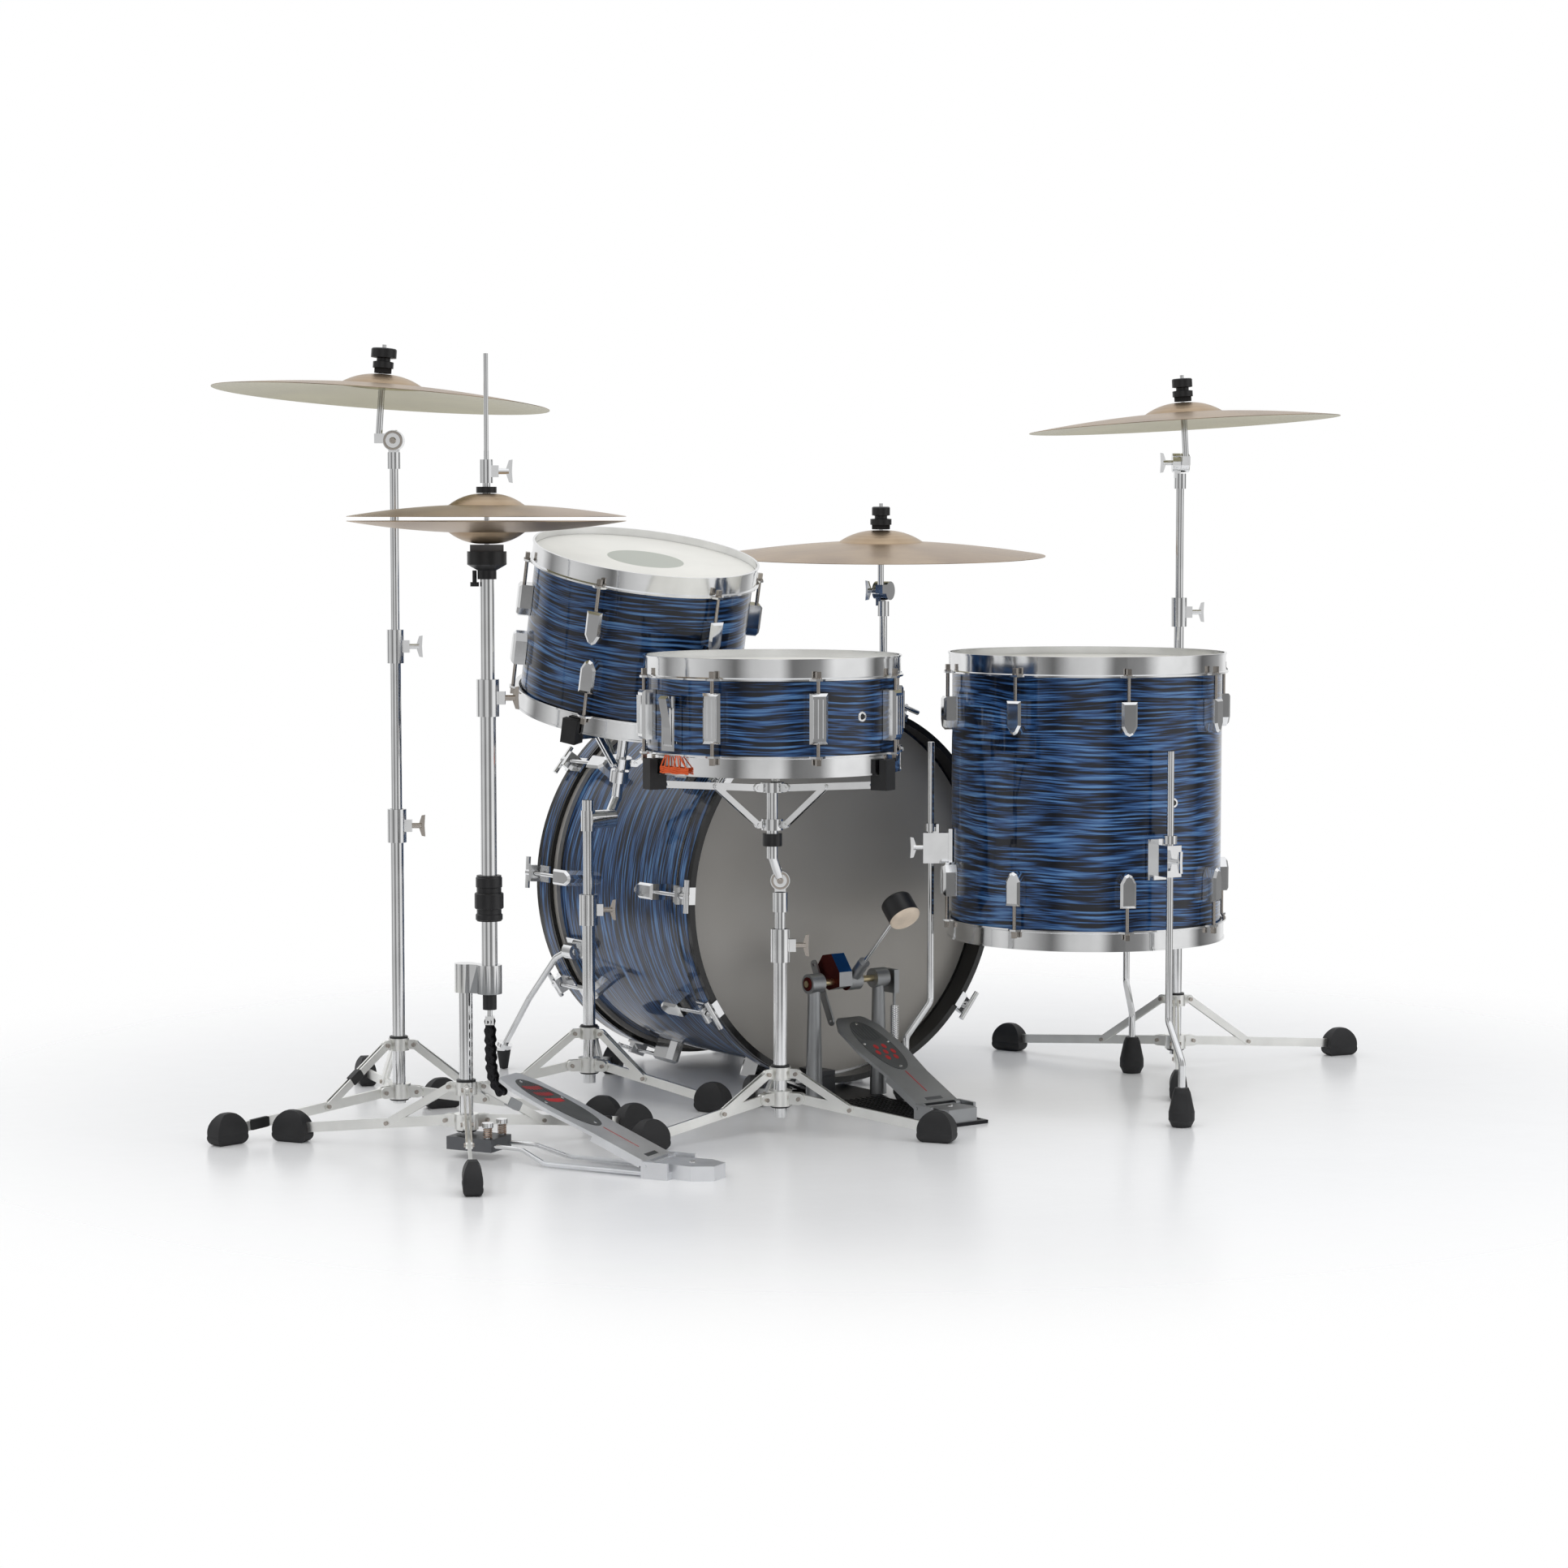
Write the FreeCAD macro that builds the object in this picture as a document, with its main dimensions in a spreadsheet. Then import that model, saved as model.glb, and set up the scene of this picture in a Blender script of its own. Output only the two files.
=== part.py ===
import FreeCAD, Part
import math
import os
import Sketcher
from FreeCAD import Placement, Rotation, Vector

# Acoustic drum kit, in millimetres.  +Z is up and the floor is Z = 0.  +Y runs from the drummer to
# the audience along the bass drum's axis, and +X is the drummer's right-hand side.  The origin is
# on the floor below the near face of the bass drum's batter hoop, on the drum's centreline.

UP = Vector(0, 0, 1)
ORIGIN = Vector(0, 0, 0)

SIZES = {
    # bass drum
    "bass_radius": 279.4, "bass_depth": 355.6, "bass_wall": 8.0, "bass_centre_height": 304.0,
    "bass_hoop_radius": 293.0, "bass_hoop_inner": 283.4, "bass_hoop_width": 38.0,
    "bass_shell_start": 37.0, "bass_lug_count": 10, "bass_first_lug": 3.0,
    # toms and snare
    "tom_radius": 165.1, "tom_depth": 228.6, "tom_lug_count": 6, "tom_first_lug": 35.0,
    "snare_radius": 177.8, "snare_depth": 139.7, "snare_lug_count": 8, "snare_first_lug": 28.5,
    "floor_radius": 203.2, "floor_depth": 406.4, "floor_lug_count": 8, "floor_first_lug": 245.5,
    "shell_wall": 7.0, "vent_radius": 6.0, "rod_top_radius": 3.175,
    "rim_rise": 12.0, "rim_wall": 2.2, "rim_drop": 16.0, "rim_gap": 3.0, "rim_lip": 6.5,
    "rim_flange": 9.0, "ear_reach": 18.0, "ear_width": 22.0, "rod_offset": 13.0, "rod_radius": 2.75,
    "lug_start": 53.0, "lug_width": 24.0, "lug_length": 50.0, "lug_thickness": 21.0,
    "snare_lug_width": 27.0, "snare_lug_length": 70.0,
    "head_film": 0.6, "flesh_ring_height": 8.0,
    # places of the drums
    "tom_x": -298.3, "tom_y": 158.0, "tom_bottom": 597.0, "tom_tilt": 12.6,
    "snare_x": -326.5, "snare_y": -257.2, "snare_bottom": 538.5,
    "floor_x": 238.9, "floor_y": -284.8, "floor_bottom": 263.0,
    # stand columns
    "crash_left_x": -686.7, "crash_left_y": 185.2, "crash_left_turn": 69.8,
    "hihat_x": -765.9, "hihat_y": -139.9, "hihat_turn": 0.7,
    "tom_stand_x": -359.7, "tom_stand_y": 174.9, "tom_stand_turn": 48.1,
    "snare_stand_x": -304.2, "snare_stand_y": -245.6, "snare_stand_turn": 63.8,
    "crash_right_x": 560.4, "crash_right_y": -136.3, "crash_right_turn": 348.6,
    "ride_x": 210.0, "ride_y": 181.0,
    "wide_base": 313.0, "narrow_base": 237.0, "hihat_base": 280.0,
    "column_radius": 9.55, "middle_radius": 7.95, "top_radius": 6.35, "slide_gap": 0.05,
    "strap_height": 14.0, "strap_thickness": 4.0, "brace_height": 11.0, "brace_thickness": 2.5,
    "rivet_radius": 3.0, "boot_length": 52.0, "boot_height": 45.0, "boot_width": 26.0,
    # cymbals
    "crash_radius": 245.0, "ride_radius": 263.0, "hihat_radius": 190.5, "cymbal_thickness": 1.3,
    "post_radius": 3.2, "cymbal_hole": 6.0,
    # floor tom legs
    "leg_rod_radius": 5.2, "leg_circle": 235.0, "leg_top": 545.0, "leg_knee": 150.0,
    # pedals
    "pedal_x": -60.0, "pedal_hinge_y": -306.0, "pedal_hinge_z": 22.0, "pedal_length": 244.0,
    "pedal_angle": 24.7, "axle_y": -80.0, "axle_z": 183.0, "axle_half": 61.0,
    "beater_radius": 168.0, "beater_lean": 45.7,
    "hihat_pedal_turn": 297.5, "hihat_tube_offset": 39.0, "hihat_toe_offset": 66.0,
    "hihat_hinge_offset": 305.0, "hihat_toe_z": 114.0, "hihat_hinge_z": 17.0,
}

doc = FreeCAD.newDocument("drum_kit")
sheet = doc.addObject("Spreadsheet::Sheet", "Sizes")
for row, (alias, value) in enumerate(SIZES.items(), start=1):
    sheet.set("A%d" % row, alias)
    sheet.set("B%d" % row, "%g" % value)
    sheet.setAlias("B%d" % row, alias)
doc.recompute()

nodes = []


def size(alias):
    """A driving dimension, read back from the sheet."""
    return float(sheet.get(alias))


# ---------------------------------------------------------------- parametric bodies

def number(entry):
    """A coordinate is a plain number, or (alias, offset) measured from a cell of the sheet."""
    if isinstance(entry, tuple):
        return size(entry[0]) + entry[1]
    return entry


def bind(sketch, index, entry):
    if isinstance(entry, tuple):
        sketch.setExpression("Constraints[%d]" % index, "Sizes.%s + %g" % entry)


def place_point(sketch, geometry, vertex, x, y):
    """Fix one vertex by its distances from the sketch's origin."""
    for kind, axis, entry in (("DistanceX", -2, x), ("DistanceY", -1, y)):
        if number(entry) == 0:
            sketch.addConstraint(Sketcher.Constraint("PointOnObject", geometry, vertex, axis))
            continue
        index = sketch.addConstraint(
            Sketcher.Constraint(kind, -1, 1, geometry, vertex, number(entry)))
        bind(sketch, index, entry)


def draw_polygon(sketch, outline):
    corners = [Vector(number(x), number(y), 0) for x, y in outline]
    count = len(corners)
    for i in range(count):
        sketch.addGeometry(Part.LineSegment(corners[i], corners[(i + 1) % count]), False)
    for i in range(count):
        sketch.addConstraint(Sketcher.Constraint("Coincident", i, 2, (i + 1) % count, 1))
    for i, (x, y) in enumerate(outline):
        place_point(sketch, i, 1, x, y)


def draw_circle(sketch, x, y, radius):
    centre = Vector(number(x), number(y), 0)
    circle = sketch.addGeometry(Part.Circle(centre, UP, number(radius)), False)
    place_point(sketch, circle, 3, x, y)
    index = sketch.addConstraint(Sketcher.Constraint("Radius", circle, number(radius)))
    bind(sketch, index, radius)


def new_sketch(body, name, plane):
    sketch = body.newObject("Sketcher::SketchObject", name)
    for feature in body.Origin.OriginFeatures:
        if feature.Role == plane:
            sketch.AttachmentSupport = [(feature, "")]
    sketch.MapMode = "FlatFace"
    return sketch


def turned_body(name, outline):
    """A body of revolution about Z; the outline is (radius, height)."""
    body = doc.addObject("PartDesign::Body", name)
    sketch = new_sketch(body, name + "_outline", "XZ_Plane")
    draw_polygon(sketch, outline)
    turned = body.newObject("PartDesign::Revolution", name + "_turned")
    turned.Profile = sketch
    turned.ReferenceAxis = (sketch, ["V_Axis"])
    turned.Angle = 360
    return body


def tube_body(name, outer, inner, bottom, top):
    return turned_body(name, [(inner, bottom), (outer, bottom), (outer, top), (inner, top)])


# ---------------------------------------------------------------- shapes from Part's functions

def at(x, y, z, turn=0.0):
    return Placement(Vector(x, y, z), Rotation(UP, turn))


def moved(shape, placement):
    copy = shape.copy()
    copy.Placement = placement.multiply(copy.Placement)
    return copy


def ring(centre, turn_start, count, radius):
    """Placements evenly round an axis, each turned so that its own +X points outwards."""
    places = []
    for i in range(count):
        turn = turn_start + i * 360.0 / count
        out = Rotation(UP, turn)
        places.append(Placement(centre + out.multVec(Vector(radius, 0, 0)), out))
    return places


def box(x_span, y_span, z_span):
    corner = Vector(x_span[0], y_span[0], z_span[0])
    return Part.makeBox(x_span[1] - x_span[0], y_span[1] - y_span[0], z_span[1] - z_span[0], corner)


def rod(start, end, radius, bore=0.0):
    run = end - start
    solid = Part.makeCylinder(radius, run.Length, start, run)
    if bore:
        solid = solid.cut(Part.makeCylinder(bore, run.Length + 2, start - run.normalize(), end - start))
    return solid


def prism(outline, y_span):
    """An outline in (X, Z), pushed through y_span."""
    points = [Vector(x, y_span[0], z) for x, z in outline]
    face = Part.Face(Part.makePolygon(points + points[:1]))
    return face.extrude(Vector(0, y_span[1] - y_span[0], 0))


def plan_prism(outline, z_span):
    """An outline in (X, Y), pushed through z_span."""
    points = [Vector(x, y, z_span[0]) for x, y in outline]
    face = Part.Face(Part.makePolygon(points + points[:1]))
    return face.extrude(Vector(0, 0, z_span[1] - z_span[0]))


def turned(outline):
    points = [Vector(radius, 0, height) for radius, height in outline]
    face = Part.Face(Part.makePolygon(points + points[:1]))
    return face.revolve(ORIGIN, UP, 360)


def strap(start, end, height, y_span, hole=0.0):
    """A flat bar with round ends in the XZ plane, from pivot to pivot."""
    run = Vector(end[0] - start[0], 0, end[1] - start[1])
    bar = box((0, run.Length), y_span, (-height / 2, height / 2))
    depth = y_span[1] - y_span[0]
    for x in (0, run.Length):
        bar = bar.fuse(Part.makeCylinder(height / 2, depth, Vector(x, y_span[0], 0), Vector(0, 1, 0)))
    bar = bar.removeSplitter()
    if hole:
        for x in (0, run.Length):
            bar = bar.cut(Part.makeCylinder(hole, depth + 2, Vector(x, y_span[0] - 1, 0),
                                            Vector(0, 1, 0)))
    slope = math.degrees(math.atan2(run.z, run.x))
    return moved(bar, Placement(Vector(start[0], 0, start[1]), Rotation(Vector(0, 1, 0), -slope)))


def bent_rod(points, radius, bend):
    """A rod along straight runs whose corners are rounded to one bend radius."""
    edges = []
    start = points[0]
    for i in range(1, len(points) - 1):
        corner = points[i]
        back = (points[i - 1] - corner).normalize()
        ahead = (points[i + 1] - corner).normalize()
        half = back.getAngle(ahead) / 2
        reach = bend / math.tan(half)
        first = corner + back * reach
        last = corner + ahead * reach
        centre = corner + (back + ahead).normalize() * (bend / math.sin(half))
        middle = centre + (corner - centre).normalize() * bend
        edges += [Part.LineSegment(start, first).toShape(), Part.Arc(first, middle, last).toShape()]
        start = last
    edges.append(Part.LineSegment(start, points[-1]).toShape())
    path = Part.Wire(edges)
    run = points[1] - points[0]
    section = Part.Wire([Part.Circle(points[0], run, radius).toShape()])
    return path.makePipeShell([section], True, True)


def wing_screw(side=1):
    """A hand screw on +X: a stub, and a wing standing in the XZ plane."""
    stub = rod(Vector(0, 0, 0), Vector(14 * side, 0, 0), 4.0)
    wing = prism([(10 * side, -3), (14 * side, -15), (19 * side, -16), (18 * side, 0),
                  (19 * side, 16), (14 * side, 15), (10 * side, 3)], (-2, 2))
    return stub.fuse(wing).removeSplitter()


# ---------------------------------------------------------------- nodes

def keep(name, obj, placement=None):
    """Label a document object as a node, with its place."""
    obj.Label = name
    if placement is not None:
        obj.Placement = placement
    nodes.append(obj)
    return obj


def keep_shapes(name, shapes, placement=None):
    """A node of one or more separate solids."""
    obj = doc.addObject("Part::Feature", name)
    solids = [solid for shape in shapes for solid in shape.Solids]
    obj.Shape = solids[0] if len(solids) == 1 else Part.makeCompound(solids)
    return keep(name, obj, placement)


def keep_group(name, objects):
    """A node whose solids are other objects of the document."""
    group = doc.addObject("Part::Compound", name)
    group.Links = objects
    return keep(name, group)


# ---------------------------------------------------------------- drums

def shell_body(name, radius, depth, wall, vent_height):
    """A drum shell along Z with its vent hole on the -Y side."""
    body = doc.addObject("PartDesign::Body", name)
    sketch = new_sketch(body, name + "_section", "XY_Plane")
    draw_circle(sketch, 0, 0, (radius, 0))
    draw_circle(sketch, 0, 0, (radius, -size(wall)))
    pad = body.newObject("PartDesign::Pad", name + "_wall")
    pad.Profile = sketch
    pad.setExpression("Length", "Sizes." + depth)
    doc.recompute()
    vent = new_sketch(body, name + "_vent_circle", "XZ_Plane")
    draw_circle(vent, 0, vent_height, ("vent_radius", 0))
    pocket = body.newObject("PartDesign::Pocket", name + "_vent")
    pocket.Profile = vent
    pocket.Length = size(radius) + 10
    pocket.Reversed = True
    doc.recompute()
    if pocket.Shape.Volume > pad.Shape.Volume - 100:
        raise ValueError(name + ": the vent cuts nothing")
    return body


def rim_body(name, radius, count, first):
    """A triple-flanged rim.  Z = 0 is the shell's edge and +Z points off the drum."""
    wall = size("rim_gap") + size("rim_wall")
    top, drop = size("rim_rise"), size("rim_drop")
    body = turned_body(name, [
        ((radius, size("rim_gap")), top), ((radius, size("rim_lip")), top),
        ((radius, size("rim_lip")), top - 2.5), ((radius, wall), top - 2.5),
        ((radius, wall), -drop + 2), ((radius, size("rim_flange")), -drop + 0.5),
        ((radius, size("rim_flange")), -drop - 2), ((radius, size("rim_gap")), -drop - 0.5)])
    doc.recompute()
    ear = new_sketch(body, name + "_ear_plan", "XY_Plane")
    ear.AttachmentOffset = Placement(Vector(0, 0, -drop - 2), Rotation())
    half = size("ear_width") / 2
    draw_polygon(ear, [((radius, wall - 1), -half), ((radius, 12.0), -half),
                       ((radius, size("ear_reach")), -half + 6), ((radius, size("ear_reach")), half - 6),
                       ((radius, 12.0), half), ((radius, wall - 1), half)])
    draw_circle(ear, (radius, size("rod_offset")), 0, 3.3)
    pad = body.newObject("PartDesign::Pad", name + "_ear")
    pad.Profile = ear
    pad.Length = 3
    pattern = body.newObject("PartDesign::PolarPattern", name + "_ears")
    pattern.Originals = [pad]
    pattern.Axis = (ear, ["N_Axis"])
    pattern.Angle = 360
    pattern.Occurrences = int(count)
    body.Tip = pattern
    return body


def head_body(name, radius):
    """A drumhead: film over the bearing edge, and its flesh ring down outside the shell."""
    ring_height = -size("flesh_ring_height")
    film = size("head_film")
    return turned_body(name, [
        (0, 0), ((radius, 0.3), 0), ((radius, 0.3), ring_height), ((radius, 2.7), ring_height),
        ((radius, 2.7), film), (0, film)])


def lug_casing(length, pointed=True):
    """A cast lug on +X, hanging down from Z = 0, with the bore for its swivel nut."""
    half, deep = size("lug_width") / 2, size("lug_thickness")
    outline = [(-half, 0), (half, 0), (half, -length + 14), (half - 6, -length + 3), (0, -length),
               (-half + 6, -length + 3), (-half, -length + 14)]
    points = [Vector(0.2, y, z) for y, z in outline]
    casing = Part.Face(Part.makePolygon(points + points[:1])).extrude(Vector(deep - 0.2, 0, 0))
    front = [edge for edge in casing.Edges if edge.BoundBox.XMin > deep - 0.5]
    casing = casing.makeChamfer(3.5, front)
    return casing.cut(rod(Vector(size("rod_offset"), 0, -24), Vector(size("rod_offset"), 0, 1), 3.0))


def tension_rod(reach):
    """A square-headed tension rod with its washer: Z = 0 is the ear's outer face."""
    shank = rod(Vector(0, 0, -reach), Vector(0, 0, 1.5), size("rod_radius"))
    washer = rod(Vector(0, 0, 0), Vector(0, 0, 1.5), 5.0)
    head = box((-3.2, 3.2), (-3.2, 3.2), (1.5, 10.0))
    return shank.fuse([washer, head])


def drum_ends(depth):
    """Placements of a drum's two ends, whose own Z = 0 is the shell's edge and +Z points away."""
    top = Placement(Vector(0, 0, depth), Rotation())
    bottom = Placement(ORIGIN, Rotation(Vector(1, 0, 0), 180))
    return top, bottom


def end_ring(end, first, count, radius, height):
    """Placements round one end, so that both ends' pieces stand over each other."""
    turn = first if end.Rotation.Angle < 1 else -first
    return [end.multiply(place) for place in ring(Vector(0, 0, height), turn, int(count), radius)]


def make_drum(prefix, place):
    """Shell, rims, heads, lugs and tension rods of a tom or snare."""
    radius, depth = prefix + "_radius", size(prefix + "_depth")
    count, first = size(prefix + "_lug_count"), size(prefix + "_first_lug")
    name = {"floor": "floor_tom"}.get(prefix, prefix)
    vent_height = depth / 2
    vent_turn = {"tom": 150.0, "snare": 8.5, "floor": -2.0}[prefix]
    shell = shell_body(name + "_shell", radius, prefix + "_depth", "shell_wall", vent_height)
    keep(name + "_shell", shell, place.multiply(at(0, 0, 0, vent_turn)))

    top, bottom = drum_ends(depth)
    rims = []
    heads = []
    for side, end in (("batter", top), ("resonant", bottom)):
        turn = first if side == "batter" else -first
        rim = rim_body("%s_%s_rim" % (name, side), radius, count, first)
        rim.Placement = place.multiply(end).multiply(at(0, 0, 0, turn))
        rims.append(rim)
        head = head_body("%s_%s_head" % (name, side), radius)
        head.Placement = place.multiply(end)
        heads.append(head)
    keep_group(name + "_hoops", rims)
    keep_group(name + "_heads", heads)

    lugs = []
    rods = []
    rod_ring = size(radius) + size("rod_offset")
    ear_top = -size("rim_drop") + 1.0
    if prefix == "snare":
        half = size("snare_lug_length") / 2
        casing = snare_lug()
        lugs = [moved(casing, spot) for spot in ring(Vector(0, 0, depth / 2), first, int(count),
                                                     size(radius))]
        rod_reach = depth / 2 - half + ear_top + 12
    else:
        casing = lug_casing(size("lug_length"))
        for end in (top, bottom):
            for spot in end_ring(end, first, count, size(radius), -size("lug_start")):
                lugs.append(moved(casing, spot))
        rod_reach = size("lug_start") + ear_top + 20
    screw = tension_rod(rod_reach)
    for end in (top, bottom):
        rods += [moved(screw, spot) for spot in end_ring(end, first, count, rod_ring, ear_top)]
    keep_shapes(name + "_lugs", lugs, place)
    keep_shapes(name + "_tension_rods", rods, place)


def snare_lug():
    """A long double-ended lug, ribbed down its front."""
    half, width = size("snare_lug_length") / 2, size("snare_lug_width") / 2
    casing = box((0.2, 19), (-width, width), (-half, half))
    casing = casing.makeChamfer(4, [edge for edge in casing.Edges if edge.BoundBox.XMin > 18])
    for y in (-7, 0, 7):
        casing = casing.fuse(box((17, 21), (y - 2, y + 2), (-half + 8, half - 8)))
    x = size("rod_offset")
    for low, high in ((-half - 1, -half + 16), (half - 16, half + 1)):
        casing = casing.cut(rod(Vector(x, 0, low), Vector(x, 0, high), 3.0))
    return casing.removeSplitter()


TOM = Placement(Vector(size("tom_x"), size("tom_y"), size("tom_bottom")),
                Rotation(Vector(1, 0, 0), size("tom_tilt")))
SNARE = at(size("snare_x"), size("snare_y"), size("snare_bottom"))
FLOOR_TOM = at(size("floor_x"), size("floor_y"), size("floor_bottom"))
BASS = Placement(Vector(0, size("bass_shell_start"), size("bass_centre_height")),
                 Rotation(Vector(1, 0, 0), -90))


def make_bass_drum():
    """The shell runs along +Y.  Its own +Z is the kit's +Y, and its own +Y is down."""
    depth = size("bass_depth")
    shell = shell_body("bass_shell", "bass_radius", "bass_depth", "bass_wall", depth / 2)
    keep("bass_shell", shell, BASS)
    top, bottom = drum_ends(depth)
    hoops = []
    heads = []
    film, width = size("head_film"), size("bass_hoop_width")
    start = size("bass_shell_start") - width
    for side, end in (("resonant", top), ("batter", bottom)):
        hoop = tube_body("bass_%s_hoop" % side, ("bass_hoop_radius", 0), ("bass_hoop_inner", 0),
                         start, start + width)
        hoop.Placement = BASS.multiply(end)
        hoops.append(hoop)
        head = turned_body("bass_%s_head" % side, [
            (0, 0), (("bass_radius", 0.3), 0), (("bass_radius", 0.3), -11),
            (("bass_radius", 7.0), -11), (("bass_radius", 7.0), start - 0.4),
            (("bass_radius", 1.8), start - 0.4), (("bass_radius", 1.8), film), (0, film)])
        head.Placement = BASS.multiply(end)
        heads.append(head)
    keep_group("bass_hoops", hoops)
    keep_group("bass_heads", heads)

    # each end's own Z = 0 is the shell's edge, so the hoop's face is at the shell's start
    face = size("bass_shell_start")
    outside = size("bass_hoop_radius") + 0.1
    rod_ring = size("bass_hoop_radius") + 12
    claw = prism([(outside - 8, face + 3), (outside + 3, face + 3), (outside + 3, face - 3),
                  (outside + 19, face - 6), (outside + 19, face - 13), (outside + 3, face - 17),
                  (outside + 3, face - 40), (outside, face - 40), (outside, face + 0.1),
                  (outside - 8, face + 0.1)], (-13, 13))
    claw = claw.cut(rod(Vector(rod_ring, 0, face - 20), Vector(rod_ring, 0, face), 3.6))
    lug_top = -38.0
    handle = rod(Vector(rod_ring, -25, face + 8), Vector(rod_ring, 25, face + 8), 4.0)
    collar = rod(Vector(rod_ring, 0, face - 3), Vector(rod_ring, 0, face + 8), 5.5)
    shank = rod(Vector(rod_ring, 0, lug_top - 20), Vector(rod_ring, 0, face + 8), 3.0)
    t_rod = handle.fuse([collar, shank])
    lug = bass_lug(rod_ring - size("bass_radius"))
    claws = []
    rods = []
    lugs = []
    count, first = size("bass_lug_count"), size("bass_first_lug")
    for end in (top, bottom):
        for spot in end_ring(end, first, count, 0, 0):
            claws.append(moved(claw, spot))
            rods.append(moved(t_rod, spot))
        for spot in end_ring(end, first, count, size("bass_radius"), lug_top):
            lugs.append(moved(lug, spot))
    keep_shapes("bass_claws", claws, BASS)
    keep_shapes("bass_t_rods", rods, BASS)
    keep_shapes("bass_lugs", lugs, BASS)


def bass_lug(offset):
    """A taller lug, whose bore lines up with the rod outside the hoop."""
    half, length, deep = size("lug_width") / 2, size("lug_length"), offset + 8
    points = [Vector(0.3, y, z) for y, z in (
        (-half, 0), (half, 0), (half, -length + 14), (half - 6, -length + 3), (0, -length),
        (-half + 6, -length + 3), (-half, -length + 14))]
    casing = Part.Face(Part.makePolygon(points + points[:1])).extrude(Vector(deep - 0.3, 0, 0))
    front = [edge for edge in casing.Edges if edge.BoundBox.XMin > deep - 0.5]
    casing = casing.makeChamfer(3.5, front)
    return casing.cut(rod(Vector(offset, 0, -22), Vector(offset, 0, 1), 3.2))


make_bass_drum()
make_drum("tom", TOM)
make_drum("snare", SNARE)
make_drum("floor", FLOOR_TOM)


# ---------------------------------------------------------------- stands

STANDS = {
    # name: place and turn aliases, leg circle, hub, collar, brace reach
    "crash_left": ("wide_base", 40.0, 109.5, 135.0),
    "hihat": ("hihat_base", 48.0, 95.0, 125.0),
    "tom_stand": ("narrow_base", 50.0, 99.0, 107.0),
    "snare_stand": ("narrow_base", 50.0, 86.0, 107.0),
    "crash_right": ("wide_base", 42.0, 109.0, 135.0),
}
PIN_GAP = 0.05
BOOT_AXIS = 21.0


def stand_place(name, turn=0.0):
    return at(size(name + "_x"), size(name + "_y"), 0, turn)


def ear_pair(x_span, z, gap, thickness, height):
    """Two parallel ears on +X with a pin hole through both."""
    ears = []
    pivot = x_span[1]
    for low in (gap, -gap - thickness):
        ear = box(x_span, (low, low + thickness), (z - height / 2, z + height / 2))
        ear = ear.fuse(Part.makeCylinder(height / 2, thickness, Vector(pivot, low, z), Vector(0, 1, 0)))
        ears.append(ear)
    return ears


def pin(x, z, half, radius):
    return Part.makeCylinder(radius, 2 * half, Vector(x, -half, z), Vector(0, 1, 0))


def dome_outline(half, height):
    """A dome's (across, up) arcs from its left foot round to its right foot."""
    corners = [(-0.7, 0.0), (-0.95, 0.1), (-1.0, 0.3), (-0.82, 0.74), (-0.35, 0.98), (0.0, 1.0),
               (0.35, 0.98), (0.82, 0.74), (1.0, 0.3), (0.95, 0.1), (0.7, 0.0)]
    return [(half * across, height * up) for across, up in corners]


def dome(points):
    """The closed face of a dome: arcs through each three points and a flat foot."""
    arcs = [Part.Arc(*points[i:i + 3]).toShape() for i in range(0, len(points) - 2, 2)]
    foot = Part.LineSegment(points[-1], points[0]).toShape()
    return Part.Face(Part.Wire(arcs + [foot]))


def boot(reach):
    """A rubber boot for the end of a flat leg, domed along the leg and across it."""
    length, width, height = size("boot_length"), size("boot_width"), size("boot_height")
    side = dome([Vector(reach + x, -width, z) for x, z in dome_outline(length / 2, height)])
    front = dome([Vector(reach - length, y, z) for y, z in dome_outline(width / 2, height * 1.04)])
    return side.extrude(Vector(0, 2 * width, 0)).common(front.extrude(Vector(2 * length, 0, 0)))


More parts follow.
